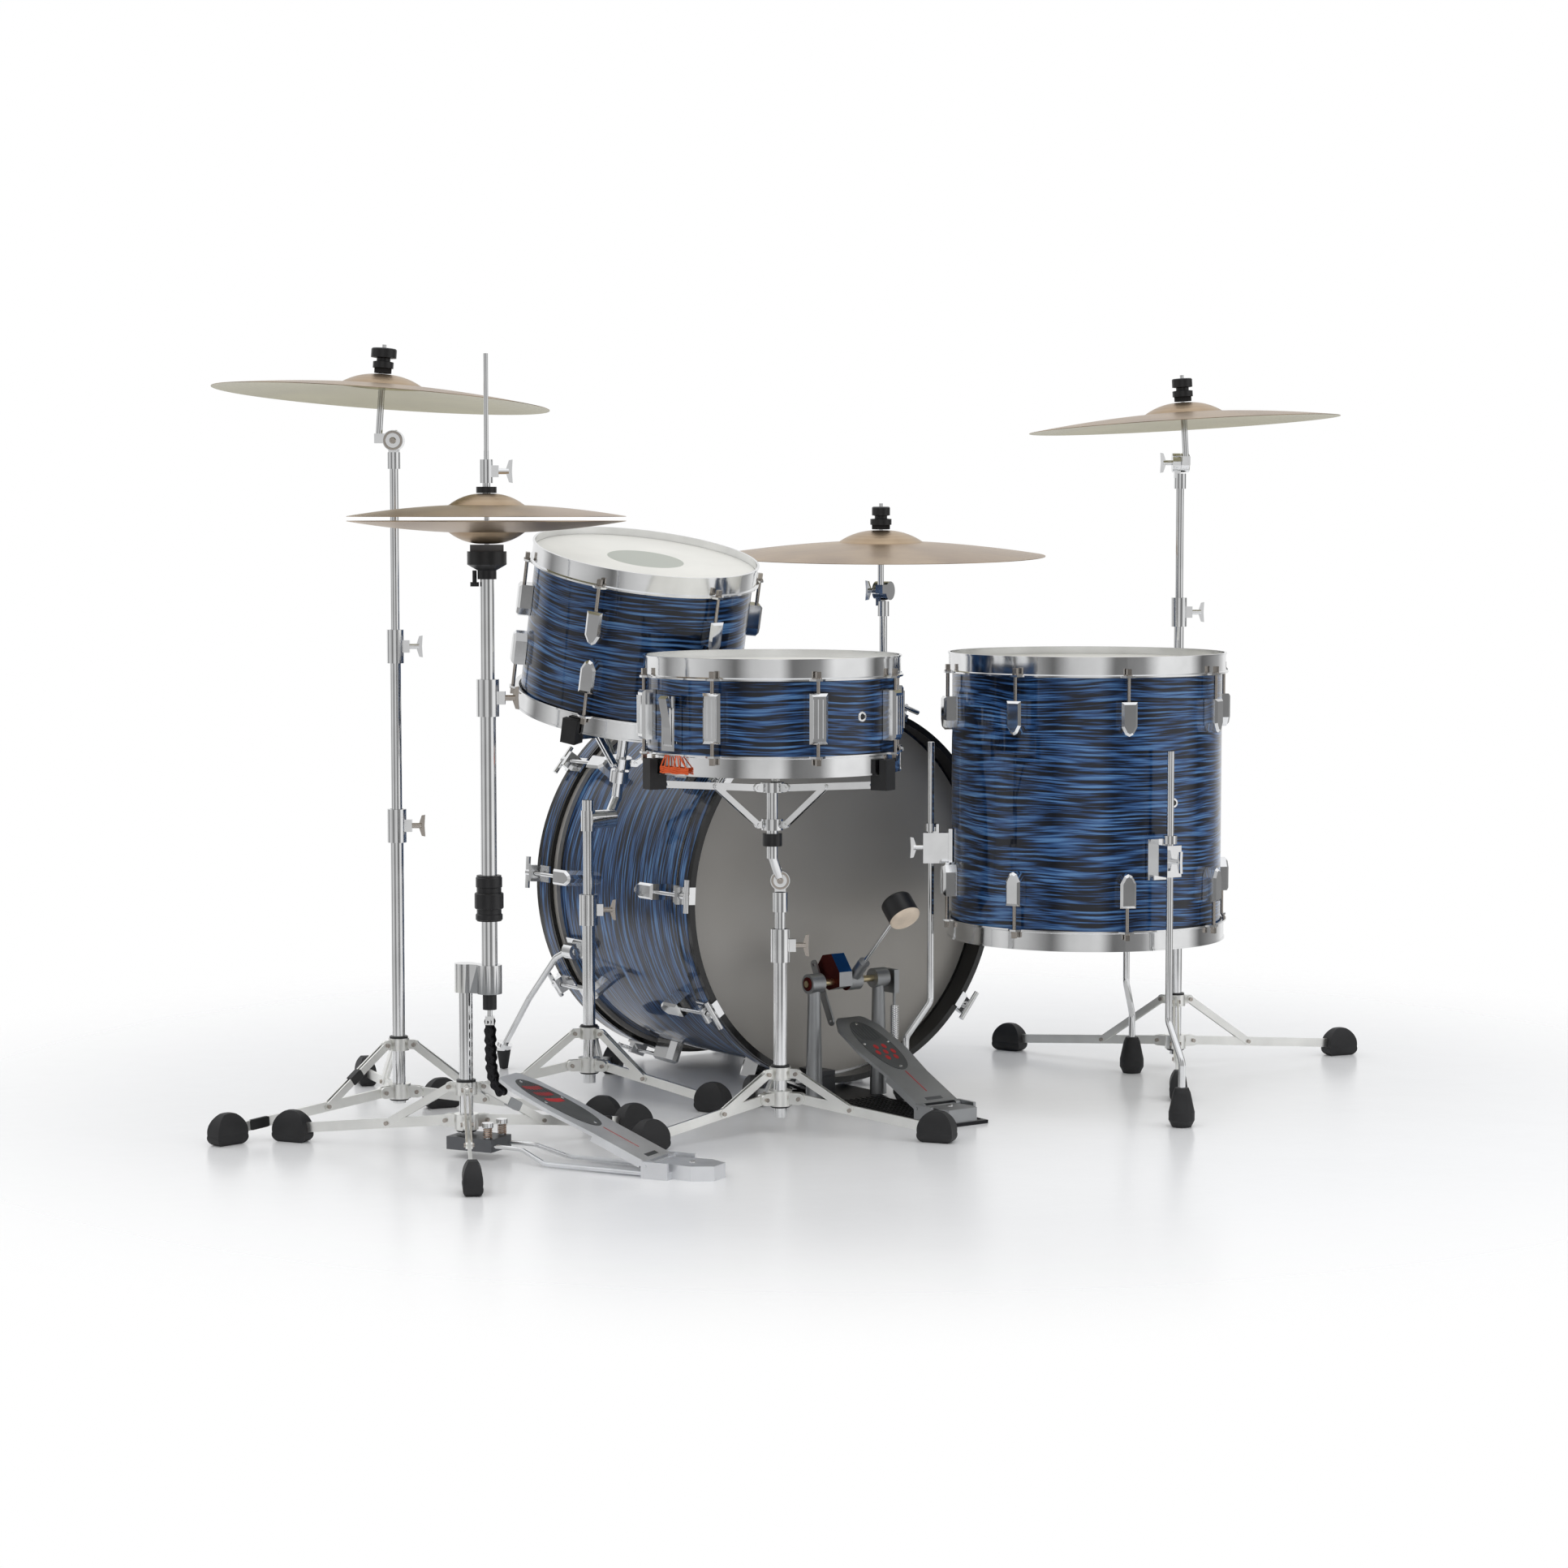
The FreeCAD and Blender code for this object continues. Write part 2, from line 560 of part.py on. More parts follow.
def make_stand_bases():
    legs, braces, pins, boots, castings = [], [], [], [], []
    thick = size("strap_thickness") / 2
    rivet = size("rivet_radius")
    hole = rivet + PIN_GAP
    for name, (base, hub, collar, brace_reach) in STANDS.items():
        reach = size(base)
        tube = size("column_radius")
        hub_ring = rod(Vector(0, 0, hub - 11), Vector(0, 0, hub + 11), 17.0, tube)
        collar_ring = rod(Vector(0, 0, collar - 9), Vector(0, 0, collar + 9), 15.5, tube)
        knuckle = BOOT_AXIS + (hub - BOOT_AXIS) * (reach - 20 - brace_reach) / (reach - 50)
        for i in range(3):
            place = stand_place(name, size(name + "_turn") + 120 * i)
            spin = at(0, 0, 0, 120.0 * i)
            hub_ears = ear_pair((14, 30), hub, thick + 0.2, 4.0, 17.0)
            hub_ring = hub_ring.fuse([moved(ear, spin) for ear in hub_ears])
            hub_ring = hub_ring.cut(moved(pin(30, hub, 20, hole), spin))
            tongue = box((13, 25), (-thick, thick), (collar - 7, collar + 7))
            tongue = tongue.fuse(pin(25, collar, thick, 7.0))
            collar_ring = collar_ring.fuse(moved(tongue, spin))
            collar_ring = collar_ring.cut(moved(pin(25, collar, 20, hole), spin))

            leg = strap((30, hub), (reach - 20, BOOT_AXIS), size("strap_height"), (-thick, thick), hole)
            leg = leg.cut(pin(brace_reach, knuckle, 20, hole))
            legs.append(moved(leg, place))
            for low in (thick + 0.1, -thick - 0.1 - size("brace_thickness")):
                span = (low, low + size("brace_thickness"))
                brace = strap((25, collar), (brace_reach, knuckle), size("brace_height"), span, hole)
                braces.append(moved(brace, place))
            for x, z, half in ((30, hub, 9.0), (25, collar, 7.5), (brace_reach, knuckle, 7.0)):
                pins.append(moved(pin(x, z, half, rivet), place))
            socket = strap((30, hub), (reach - 20, BOOT_AXIS), size("strap_height"), (-thick, thick))
            boots.append(moved(boot(reach).cut(socket), place))
        turn = stand_place(name, size(name + "_turn"))
        castings += [moved(hub_ring, turn), moved(collar_ring, turn)]
    return legs, braces, pins, boots, castings


def clamp(tube, low, high):
    """A height clamp round a tube's top, with the boss for its wing screw on +X."""
    grip = rod(Vector(0, 0, low), Vector(0, 0, high), tube + 4.5, tube)
    middle = (low + high) / 2
    boss = box((tube + 2, tube + 13), (-5, 5), (middle - 9, middle + 9))
    return grip.fuse(boss).cut(rod(Vector(0, 0, low), Vector(0, 0, high), tube))


def clamp_screw(tube, low, high):
    return moved(wing_screw(), at(tube + 13, 0, (low + high) / 2))


def tube(radius, bore, low, high):
    return rod(Vector(0, 0, low), Vector(0, 0, high), radius, bore)


legs, braces, fasteners, boots, castings = make_stand_bases()
base_tubes = []
WING_TURN = -36.0
BASE_TOPS = {"crash_left": (408, 457), "crash_right": (408, 457),
             "tom_stand": (264, 311), "snare_stand": (247, 295)}
middle_bore = size("middle_radius") + size("slide_gap")
for name, (low, high) in BASE_TOPS.items():
    place = stand_place(name, WING_TURN)
    base_tubes.append(moved(tube(size("column_radius"), middle_bore, 22, high - 3), place))
    castings.append(moved(clamp(size("column_radius"), low, high), place))
    fasteners.append(moved(clamp_screw(size("column_radius"), low, high), place))

# the hi-hat's offset column carries its main tube on a cast bridge
HIHAT_AXIS = stand_place("hihat", size("hihat_pedal_turn")).multiply(at(size("hihat_tube_offset"), 0, 0))
HIHAT_AXIS = at(HIHAT_AXIS.Base.x, HIHAT_AXIS.Base.y, 0, WING_TURN)
HIHAT_MAIN = 11.0
hihat_bore = size("column_radius") + size("slide_gap")
base_tubes.append(moved(tube(size("column_radius"), 8.0, 22, 266), stand_place("hihat")))
base_tubes.append(moved(tube(HIHAT_MAIN, hihat_bore, 229, 660), HIHAT_AXIS))
offset = size("hihat_tube_offset")
bridge = tube(15.0, 0, 229, 269).fuse([moved(tube(17.0, 0, 229, 269), at(offset, 0, 0)),
                                       box((0, offset), (-9, 9), (229, 269))])
bridge = bridge.cut(tube(size("column_radius"), 0, 200, 266))
bridge = bridge.cut(moved(tube(HIHAT_MAIN, 0, 200, 300), at(offset, 0, 0)))
castings.append(moved(bridge, stand_place("hihat", size("hihat_pedal_turn"))))
castings.append(moved(clamp(HIHAT_MAIN, 612, 663), HIHAT_AXIS))
castings.append(moved(tube(17.0, HIHAT_MAIN, 330, 393), HIHAT_AXIS))
fasteners.append(moved(clamp_screw(HIHAT_MAIN, 612, 663), HIHAT_AXIS))

keep_shapes("stand_legs", legs)
keep_shapes("stand_braces", braces)
keep_shapes("stand_castings", castings)
keep_shapes("stand_base_tubes", base_tubes)
keep_shapes("stand_fasteners", fasteners)


# ---------------------------------------------------------------- floor tom legs and brackets

LEG_TURNS = (260.5, 145.0, 33.0)
FOOT_CIRCLE = 272.0
leg_radius, leg_ring = size("leg_rod_radius"), size("leg_circle")
leg_rods = []
brackets = []
for turn in LEG_TURNS:
    place = at(size("floor_x"), size("floor_y"), 0, turn)
    shin = size("leg_knee")
    bent = bent_rod([Vector(leg_ring, 0, size("leg_top")), Vector(leg_ring, 0, shin),
                     Vector(FOOT_CIRCLE, 0, 95), Vector(FOOT_CIRCLE, 0, 30)], leg_radius, 18)
    leg_rods.append(moved(bent, place))
    foot = turned([(leg_radius, 57), (10, 57), (13, 50), (19, 22), (19, 10), (14, 0), (0, 0), (0, 30),
                   (leg_radius, 30)])
    boots.append(moved(foot, place.multiply(at(FOOT_CIRCLE, 0, 0))))
    radius = size("floor_radius")
    plate = box((radius + 0.3, radius + 6), (-21, 21), (355, 415))
    plate = plate.fuse(box((radius + 5, leg_ring + 12), (-12, 12), (362, 408)))
    plate = plate.cut(rod(Vector(leg_ring, 0, 350), Vector(leg_ring, 0, 420),
                          leg_radius + size("slide_gap")))
    screw = moved(wing_screw(), at(leg_ring + 12, 0, 385))
    collar = rod(Vector(leg_ring, 0, 410), Vector(leg_ring, 0, 422), 10, leg_radius + 0.3)
    plate = plate.fuse(box((leg_ring - 12, leg_ring - 4), (-6, 6), (405, 421))).cut(
        rod(Vector(leg_ring, 0, 350), Vector(leg_ring, 0, 430), leg_radius + size("slide_gap")))
    brackets += [moved(plate.fuse(collar).removeSplitter(), place), moved(screw, place)]
keep_shapes("floor_tom_legs", leg_rods)
keep_shapes("floor_tom_brackets", brackets)
keep_shapes("rubber_feet", boots)


# ---------------------------------------------------------------- cymbals and their stands

def cymbal(radius, rise, bell_radius, bell_rise, hole):
    """A cymbal whose bell's top is at Z = 0: two arcs, one thickness."""
    thick = size("cymbal_thickness")
    knee = Vector(bell_radius, 0, -bell_rise)
    edge = Vector(radius, 0, -rise)
    bell_side = Vector(bell_radius * 0.62, 0, -bell_rise * 0.30)
    bow_middle = Vector((bell_radius + radius) / 2, 0, -(bell_rise + rise) / 2 + 2.2)
    crown = Vector(hole, 0, -0.2)
    down = Vector(0, 0, -thick)
    rim = edge + Vector(0, 0, -thick * 0.6)
    edges = [
        Part.Arc(crown, bell_side, knee).toShape(), Part.Arc(knee, bow_middle, edge).toShape(),
        Part.LineSegment(edge, rim).toShape(),
        Part.Arc(rim, bow_middle + down, knee + down).toShape(),
        Part.Arc(knee + down, bell_side + down, crown + down).toShape(),
        Part.LineSegment(crown + down, crown).toShape()]
    return Part.Face(Part.Wire(edges)).revolve(ORIGIN, UP, 360)


def tilter(name, place, post_tilt, seat, nut_low, nut_top):
    """A ratchet tilter and its cymbal post.

    The ratchet's centre is the placement's origin and its hinge is the placement's Y axis.
    post_tilt turns the post from the vertical, and seat is the post's length up to the bell.
    nut_low and nut_top are the radii of the nut's two steps.
    """
    fixed = Part.makeCylinder(15, 12.7, Vector(0, 0.3, 0), Vector(0, 1, 0))
    neck = box((-8, 8), (0.3, 9.5), (-24, -8))
    socket = rod(Vector(0, 0, -41), Vector(0, 0, -17), 9.5, size("top_radius"))
    fixed = fixed.fuse([neck, socket]).cut(rod(Vector(0, 0, -42), Vector(0, 0, -22), size("top_radius")))
    wing = moved(wing_screw(), Placement(Vector(0, 13, 0), Rotation(UP, 90)))
    moving = Part.makeCylinder(15, 12.7, Vector(0, -13, 0), Vector(0, 1, 0))
    foot = Vector(-21, -6.5, 4)
    arm = box((-27, -8), (-13, -0.3), (-4, 10))
    up = Placement(foot, post_tilt)
    post = moved(rod(ORIGIN, Vector(0, 0, seat - 12), 5.0), up)
    thread = moved(rod(Vector(0, 0, seat - 14), Vector(0, 0, seat + 43), size("post_radius")), up)
    moving = moving.fuse([arm, post, thread])
    washer = moved(rod(Vector(0, 0, seat - 12), Vector(0, 0, seat - 9.5), 14, size("post_radius")), up)
    felt = moved(rod(Vector(0, 0, seat - 9.5), Vector(0, 0, seat - 3.8), 13, size("post_radius")), up)
    top_felt = moved(rod(Vector(0, 0, seat + 1.7), Vector(0, 0, seat + 9), nut_low - 2.5,
                         size("post_radius")), up)
    nut = turned([(size("post_radius"), 9), (nut_low, 9), (nut_low, 18), (10, 19), (10, 23), (nut_top, 24),
                  (nut_top, 36), (nut_top - 1.5, 37.5), (size("post_radius"), 37.5)])
    nut = moved(nut, up.multiply(at(0, 0, seat)))
    solids = [moving.removeSplitter(), washer, felt, top_felt, nut]
    keep_shapes(name + "_tilter", solids, place)
    hub = place.multiply(up).multiply(at(0, 0, seat))
    return [moved(fixed.removeSplitter(), place), moved(wing, place)], hub


VIEW_TURN = -36.0
CYMBALS = {
    # ratchet height, ratchet turn, post's turns about its own X and Y, seat, rise, bell, nut
    "crash_left": (995.0, VIEW_TURN, -2.3, 3.8, 92.0, 35.0, 62.0, 17.0, 15.0, 18.5),
    "crash_right": (969.0, VIEW_TURN + 90, -3.2, 1.0, 91.0, 35.0, 62.0, 17.0, 16.0, 16.0),
    "ride": (765.0, VIEW_TURN + 60, 1.1, -1.9, 93.0, 40.0, 68.0, 19.0, 17.0, 14.5),
}
stand_tops = {}
for name, (height, turn, lean, roll, seat, rise, bell, bell_rise, low, top) in CYMBALS.items():
    place = at(size(name + "_x"), size(name + "_y"), height, turn)
    post_turn = Rotation(Vector(0, 1, 0), roll).multiply(Rotation(Vector(1, 0, 0), lean))
    fixed, hub = tilter(name, place, post_turn, seat, low, top)
    radius = size("ride_radius") if name == "ride" else size("crash_radius")
    disc = cymbal(radius, rise, bell, bell_rise, size("cymbal_hole"))
    keep_shapes(name + "_cymbal", [disc], hub)
    stand_tops[name] = fixed

for name in ("crash_left", "crash_right"):
    height = CYMBALS[name][0]
    place = stand_place(name, WING_TURN)
    low, high = {"crash_left": (671, 720), "crash_right": (709, 755)}[name]
    middle = tube(size("middle_radius"), size("top_radius") + size("slide_gap"), 340, high - 3)
    upper = tube(size("top_radius"), 4.8, 560, height - 22)
    grip = clamp(size("middle_radius"), low, high)
    screw = clamp_screw(size("middle_radius"), low, high)
    solids = [moved(solid, place) for solid in (middle, upper, grip, screw)]
    keep_shapes(name + "_tube", solids + stand_tops[name])

ride_tube = tube(size("top_radius"), 4.8, 505, CYMBALS["ride"][0] - 22)
keep_shapes("ride_tube", [moved(ride_tube, at(size("ride_x"), size("ride_y"), 0))] + stand_tops["ride"])


# ---------------------------------------------------------------- baskets of the snare and the tom

def basket(radius, arm_turns, low_hub, post_foot, grip_low):
    """Three arms with rubber grips under a drum whose shell starts at Z = 0."""
    top_hub, hole = -38.0, 2.6
    arm_end = grip_low + 6
    grip_outline = [(radius - 6, grip_low), (radius + 19.7, grip_low), (radius + 19.7, 9), (radius + 8.2, 9),
                    (radius + 8.2, -13), (radius - 6, -13)]
    hub = rod(Vector(0, 0, top_hub - 7), Vector(0, 0, top_hub + 7), 17)
    lower = rod(Vector(0, 0, low_hub - 8), Vector(0, 0, low_hub + 8), 16)
    post = rod(Vector(0, 0, post_foot), Vector(0, 0, top_hub - 7), 8)
    lower = lower.cut(post)
    parts = []
    for turn in arm_turns:
        spin = at(0, 0, 0, turn)
        for ear in ear_pair((12, 24), top_hub, 1.7, 3.0, 12.0):
            hub = hub.fuse(moved(ear, spin))
        hub = hub.cut(moved(pin(24, top_hub, 12, hole), spin))
        tongue = box((12, 23), (-1.5, 1.5), (low_hub - 5, low_hub + 5)).fuse(pin(23, low_hub, 1.5, 5))
        lower = lower.fuse(moved(tongue, spin)).cut(moved(pin(23, low_hub, 12, hole), spin))
        arm = strap((24, top_hub), (radius - 11.2, arm_end), 10, (-1.5, 1.5), hole)
        knuckle = top_hub + (90.0 - 24) / (radius - 35.2) * (arm_end - top_hub)
        arm = arm.cut(pin(90, knuckle, 12, hole))
        grip = prism(grip_outline, (-12, 12))
        parts += [moved(arm, spin), moved(grip, spin)]
        for low in (1.6, -4.1):
            parts.append(moved(strap((23, low_hub), (90, knuckle), 8, (low, low + 2.5), hole), spin))
        for x, z in ((24, top_hub), (23, low_hub), (90, knuckle)):
            parts.append(moved(pin(x, z, 6.0, hole - PIN_GAP), spin))
    return [hub, lower] + parts, post


ARM_TURNS = (291.0, 171.0, 51.0)
HIP = size("middle_radius")

# snare stand: the ratchet faces the drummer's left, and its moving half carries the basket
snare_ratchet = stand_place("snare_stand", VIEW_TURN).multiply(at(0, 0, 365.5))
fixed_half = Part.makeCylinder(14, 12.7, Vector(0, 0.3, 0), Vector(0, 1, 0))
fixed_half = fixed_half.fuse([box((-8, 8), (0.3, 9.5), (-26, -8)),
                              rod(Vector(0, 0, -46), Vector(0, 0, -18), 11, HIP)])
fixed_half = fixed_half.cut(rod(Vector(0, 0, -50), Vector(0, 0, -24), HIP))
snare_tube = moved(tube(HIP, 6.0, 90, 341.5), stand_place("snare_stand"))
snare_wing = moved(wing_screw(), Placement(Vector(0, 13, 0), Rotation(UP, 90)))
keep_shapes("snare_mast", [snare_tube, moved(fixed_half.removeSplitter(), snare_ratchet),
                           moved(snare_wing, snare_ratchet)])
snare_solids, snare_post = basket(size("snare_radius"), ARM_TURNS, -91.0, -140.0, -34.0)
snare_solids = [moved(solid, SNARE) for solid in snare_solids]
moving_half = moved(Part.makeCylinder(14, 12.7, Vector(0, -13, 0), Vector(0, 1, 0)), snare_ratchet)
post_end = SNARE.multVec(Vector(0, 0, -136))
elbow = rod(snare_ratchet.multVec(Vector(0, -7, 0)), post_end, 6.5)
moving_half = moving_half.fuse([elbow, moved(snare_post, SNARE)])
collar = moved(rod(Vector(0, 0, -122), Vector(0, 0, -104), 14, 8), SNARE)
keep_shapes("snare_basket", [moving_half.removeSplitter(), collar] + snare_solids)

# tom stand: a barrel across the kit, so that the drum tilts towards the drummer
PIVOT = Vector(size("tom_stand_x"), size("tom_stand_y"), 425)
ACROSS = Vector(1, 0, 0)
tom_tube = moved(tube(HIP, 6.0, 90, 408), stand_place("tom_stand"))
tee = rod(PIVOT - UP * 17, PIVOT + UP * 14, 11).fuse(rod(PIVOT, PIVOT + ACROSS * 25, 14))
knob = rod(PIVOT + UP * 14, PIVOT + UP * 30, 9)
keep_shapes("tom_mast", [tom_tube, tee, knob])
tom_solids, tom_post = basket(size("tom_radius"), (209.0, 329.0, 89.0), -89.0, -150.0, -28.0)
tom_solids = [moved(solid, TOM) for solid in tom_solids]
tom_half = rod(PIVOT + ACROSS * 25.3, PIVOT + ACROSS * 45, 14)
tom_elbow = rod(PIVOT + ACROSS * 36, TOM.multVec(Vector(0, 0, -145)), 7.5)
tom_half = tom_half.fuse([tom_elbow, moved(tom_post, TOM)])
tom_collar = moved(rod(Vector(0, 0, -120), Vector(0, 0, -102), 14, 8), TOM)
keep_shapes("tom_basket", [tom_half.removeSplitter(), tom_collar] + tom_solids)


# ---------------------------------------------------------------- snare strainer and wires

STRAINER_TURN = 185.0
shell_r = size("snare_radius")
strainer_place = SNARE.multiply(at(0, 0, 0, STRAINER_TURN))
body = box((shell_r + 0.3, shell_r + 14), (-14, 14), (22, 82))
slot = box((shell_r + 6.5, shell_r + 20), (-9.3, 9.3), (29, 90))
body = body.cut(slot)
HINGE_X, HINGE_Z = shell_r + 11, 34.0
body = body.cut(pin(HINGE_X, HINGE_Z, 20, 2.05))
knob = rod(Vector(shell_r + 6, 0, 82), Vector(shell_r + 6, 0, 98), 5.5)
butt = moved(box((shell_r + 0.3, shell_r + 12), (-16, 16), (20, 54)), at(0, 0, 0, 180))
keep_shapes("snare_strainer", [body, knob, butt], strainer_place)
lever = prism([(HINGE_X - 2.5, 31), (HINGE_X + 3, 31), (HINGE_X + 5, 55), (HINGE_X + 13, 95),
               (HINGE_X + 9, 99), (HINGE_X - 1, 60), (HINGE_X - 2.5, 45)], (-8.5, 8.5))
lever = lever.fuse(pin(HINGE_X, HINGE_Z, 13.5, 2.0)).removeSplitter()
keep_shapes("strainer_lever", [lever], strainer_place)

WIRE_COUNT, WIRE_HALF, WIRE_STEP = 20, 128.0, 2.4
wires = []
for i in range(WIRE_COUNT):
    y = (i - (WIRE_COUNT - 1) / 2) * WIRE_STEP
    wires.append(rod(Vector(-WIRE_HALF, y, -1.3), Vector(WIRE_HALF, y, -1.3), 0.6))
for x in (-WIRE_HALF - 12, WIRE_HALF):
    wires.append(box((x, x + 12), (-26, 26), (-2.2, -0.7)))
for side in (1, -1):
    start = WIRE_HALF + 12
    wires.append(box(sorted((side * start, side * (shell_r - 2))), (-9, 9), (-1.9, -0.9)))
keep_shapes("snare_wires", wires, strainer_place)


# ---------------------------------------------------------------- bass drum brackets and spurs

SPUR_Y = 350.0
bass_axis = size("bass_centre_height")
bass_r = size("bass_radius")
shell_brackets = []
for side, name in ((-1, "left"), (1, "right")):
    turn = 200.5 if side < 0 else -20.5
    out = Rotation(Vector(0, 1, 0), -turn)
    place = Placement(Vector(0, SPUR_Y, bass_axis), out)
    base = box((bass_r + 0.5, bass_r + 7), (-24, 24), (-17, 17))
    eye = rod(Vector(bass_r + 17, -12, 0), Vector(bass_r + 17, 12, 0), 13)
    eye = eye.fuse(box((bass_r + 5, bass_r + 17), (-12, 12), (-9, 9)))
    holder = base.fuse(eye).cut(rod(Vector(bass_r + 17, -13, 0), Vector(bass_r + 17, 13, 0), 6.05))
    shell_brackets.append(moved(holder.removeSplitter(), place))
    hinge = place.multVec(Vector(bass_r + 17, 0, 0))
    axle = rod(hinge + Vector(0, -14, 0), hinge + Vector(0, 16, 0), 6.0)
    elbow = hinge + Vector(0, 16, 0)
    knee = hinge + Vector(side * 22, 95, -85)
    foot = Vector(hinge.x + side * 45, hinge.y + 135, 36)
    toe = foot + (foot - knee).normalize() * 20
    limb = bent_rod([elbow + Vector(0, -4, 0), elbow + Vector(side * 4, 26, -14), knee, toe], 5.0, 20)
    tip = Vector(foot.x, foot.y, 0)
    down = (tip - knee).normalize()
    ferrule = rod(foot - down * 6, foot, 12.5)
    rubber = Part.makeCone(6.5, 12.0, 34, tip + UP * 1.0, foot - tip)
    rubber = rubber.fuse(Part.makeSphere(7.5, tip + UP * 7.5))
    rubber = rubber.cut(limb).cut(ferrule)
    ferrule = ferrule.cut(limb)
    keep_shapes("spur_" + name, [axle.fuse(limb).removeSplitter(), ferrule, rubber])

# the cymbal arm's holder stands on the shell's upper right
RIDE = Vector(size("ride_x"), size("ride_y"), 0)
ride_turn = math.degrees(math.acos(size("ride_x") / bass_r))
saddle = box((bass_r + 0.5, bass_r + 7), (-26, 26), (-22, 22))
saddle = moved(saddle, Placement(Vector(0, RIDE.y, bass_axis), Rotation(Vector(0, 1, 0), -ride_turn)))
surface = bass_axis + math.sqrt(bass_r ** 2 - RIDE.x ** 2)
stem = rod(RIDE + UP * (surface + 9), RIDE + UP * (surface + 80), 12)
barrel = rod(Vector(0, 0, bass_axis), Vector(0, 500, bass_axis), bass_r + 0.5)
saddle = saddle.fuse(stem).cut(barrel)
saddle = saddle.cut(rod(RIDE + UP * (surface + 15), RIDE + UP * (surface + 90),
                        size("top_radius") + size("slide_gap")))
ride_screw = moved(wing_screw(), Placement(RIDE + UP * (surface + 60) + Vector(12, 0, 0), Rotation()))
shell_brackets += [saddle.removeSplitter(), ride_screw]
keep_shapes("bass_shell_brackets", shell_brackets)


# ---------------------------------------------------------------- pedals

def footboard(length, heel, middle, toe):
    """A footboard along +X from its heel hinge, with its top face at Z = 4."""
    outline = [(5, -heel), (length * 0.35, -heel), (length * 0.62, -middle), (length * 0.88, -middle + 5),
               (length - 4, -toe), (length, -toe + 5), (length, toe - 5), (length - 4, toe),
               (length * 0.88, middle - 5), (length * 0.62, middle), (length * 0.35, heel), (5, heel)]
    board = plan_prism(outline, (-1, 4))
    for side in (-1, 1):
        knuckle = rod(Vector(0, side * (heel - 9), 0), Vector(0, side * heel, 0), 6)
        web = box((0, 14), sorted((side * (heel - 9), side * heel)), (-5, 4))
        flange = box((10, length * 0.35), sorted((side * (heel - 4), side * heel)), (-8, 4))
        board = board.fuse([knuckle, web, flange])
    board = board.fuse(rod(Vector(0, -heel - 6, 0), Vector(0, heel + 6, 0), 2.5))
    return board.removeSplitter()


def heel_plate(heel, hinge_z, reach, tip):
    """The fixed plate behind the hinge: X = 0 is the hinge and -X points to the player."""
    top = plan_prism([(-9, -heel + 11), (-9, heel - 11), (-reach * 0.7, heel - 6), (-reach, tip),
                      (-reach, -tip), (-reach * 0.7, -heel + 6)], (0, hinge_z + 3))
    for side in (-1, 1):
        cheek = box((-34, 6), sorted((side * (heel + 0.4), side * (heel + 5))), (0, hinge_z + 6))
        foot = box((-34, -9), sorted((side * (heel - 14), side * (heel + 5))), (0, 10))
        top = top.fuse([cheek, foot])
    return top.cut(rod(Vector(0, -heel - 9, hinge_z), Vector(0, heel + 9, hinge_z),
                       2.5 + PIN_GAP)).removeSplitter()


# ---------------------------------------------------------------- hi-hat

HEEL_HALF = 37.0
hihat_run = size("hihat_hinge_offset") - size("hihat_toe_offset")
hihat_rise = size("hihat_toe_z") - size("hihat_hinge_z")
hihat_slope = math.degrees(math.atan2(hihat_rise, hihat_run))
HIHAT_PEDAL = stand_place("hihat", size("hihat_pedal_turn") + 180).multiply(
    at(-size("hihat_hinge_offset"), 0, size("hihat_hinge_z")))
board_place = HIHAT_PEDAL.multiply(Placement(ORIGIN, Rotation(Vector(0, 1, 0), -hihat_slope)))
board = footboard(math.hypot(hihat_run, hihat_rise), HEEL_HALF, 42.0, 27.0)
keep_shapes("hihat_footboard", [board], board_place)

# the frame: a block below the hub, two radius rods, the heel plate and the tube's bushing
column = stand_place("hihat", size("hihat_pedal_turn"))
frame = box((-16, 56), (-27, 27), (12, 30)).cut(tube(size("column_radius"), 0, 0, 60))
frame_parts = [moved(frame, column)]
WIRE_Z = 5.0
for side in (-1, 1):
    screw = rod(Vector(46, side * 19, 30), Vector(46, side * 19, 46), 4)
    screw = screw.fuse(rod(Vector(46, side * 19, 46), Vector(46, side * 19, 52), 8))
    wire = bent_rod([Vector(56, side * 20, 20), Vector(100, side * 20, 20), Vector(145, side * 32, WIRE_Z),
                     Vector(size("hihat_hinge_offset") + 9, side * 32, WIRE_Z)], 3.0, 25)
    frame_parts += [moved(screw, column), moved(wire, column)]
heel = heel_plate(HEEL_HALF, size("hihat_hinge_z"), 92.0, 16.0)
for side in (-1, 1):
    heel = heel.cut(rod(Vector(-9, side * 32, WIRE_Z), Vector(20, side * 32, WIRE_Z), 3.0))
frame_parts.append(moved(heel, at(0, 0, 0).multiply(
    Placement(HIHAT_PEDAL.Base - UP * size("hihat_hinge_z"), HIHAT_PEDAL.Rotation))))
PULL_ROD = 3.5
bushing = tube(9.6, PULL_ROD + 0.05, 207, 236)
frame_parts.append(moved(bushing, HIHAT_AXIS))
keep_shapes("hihat_frame", frame_parts)

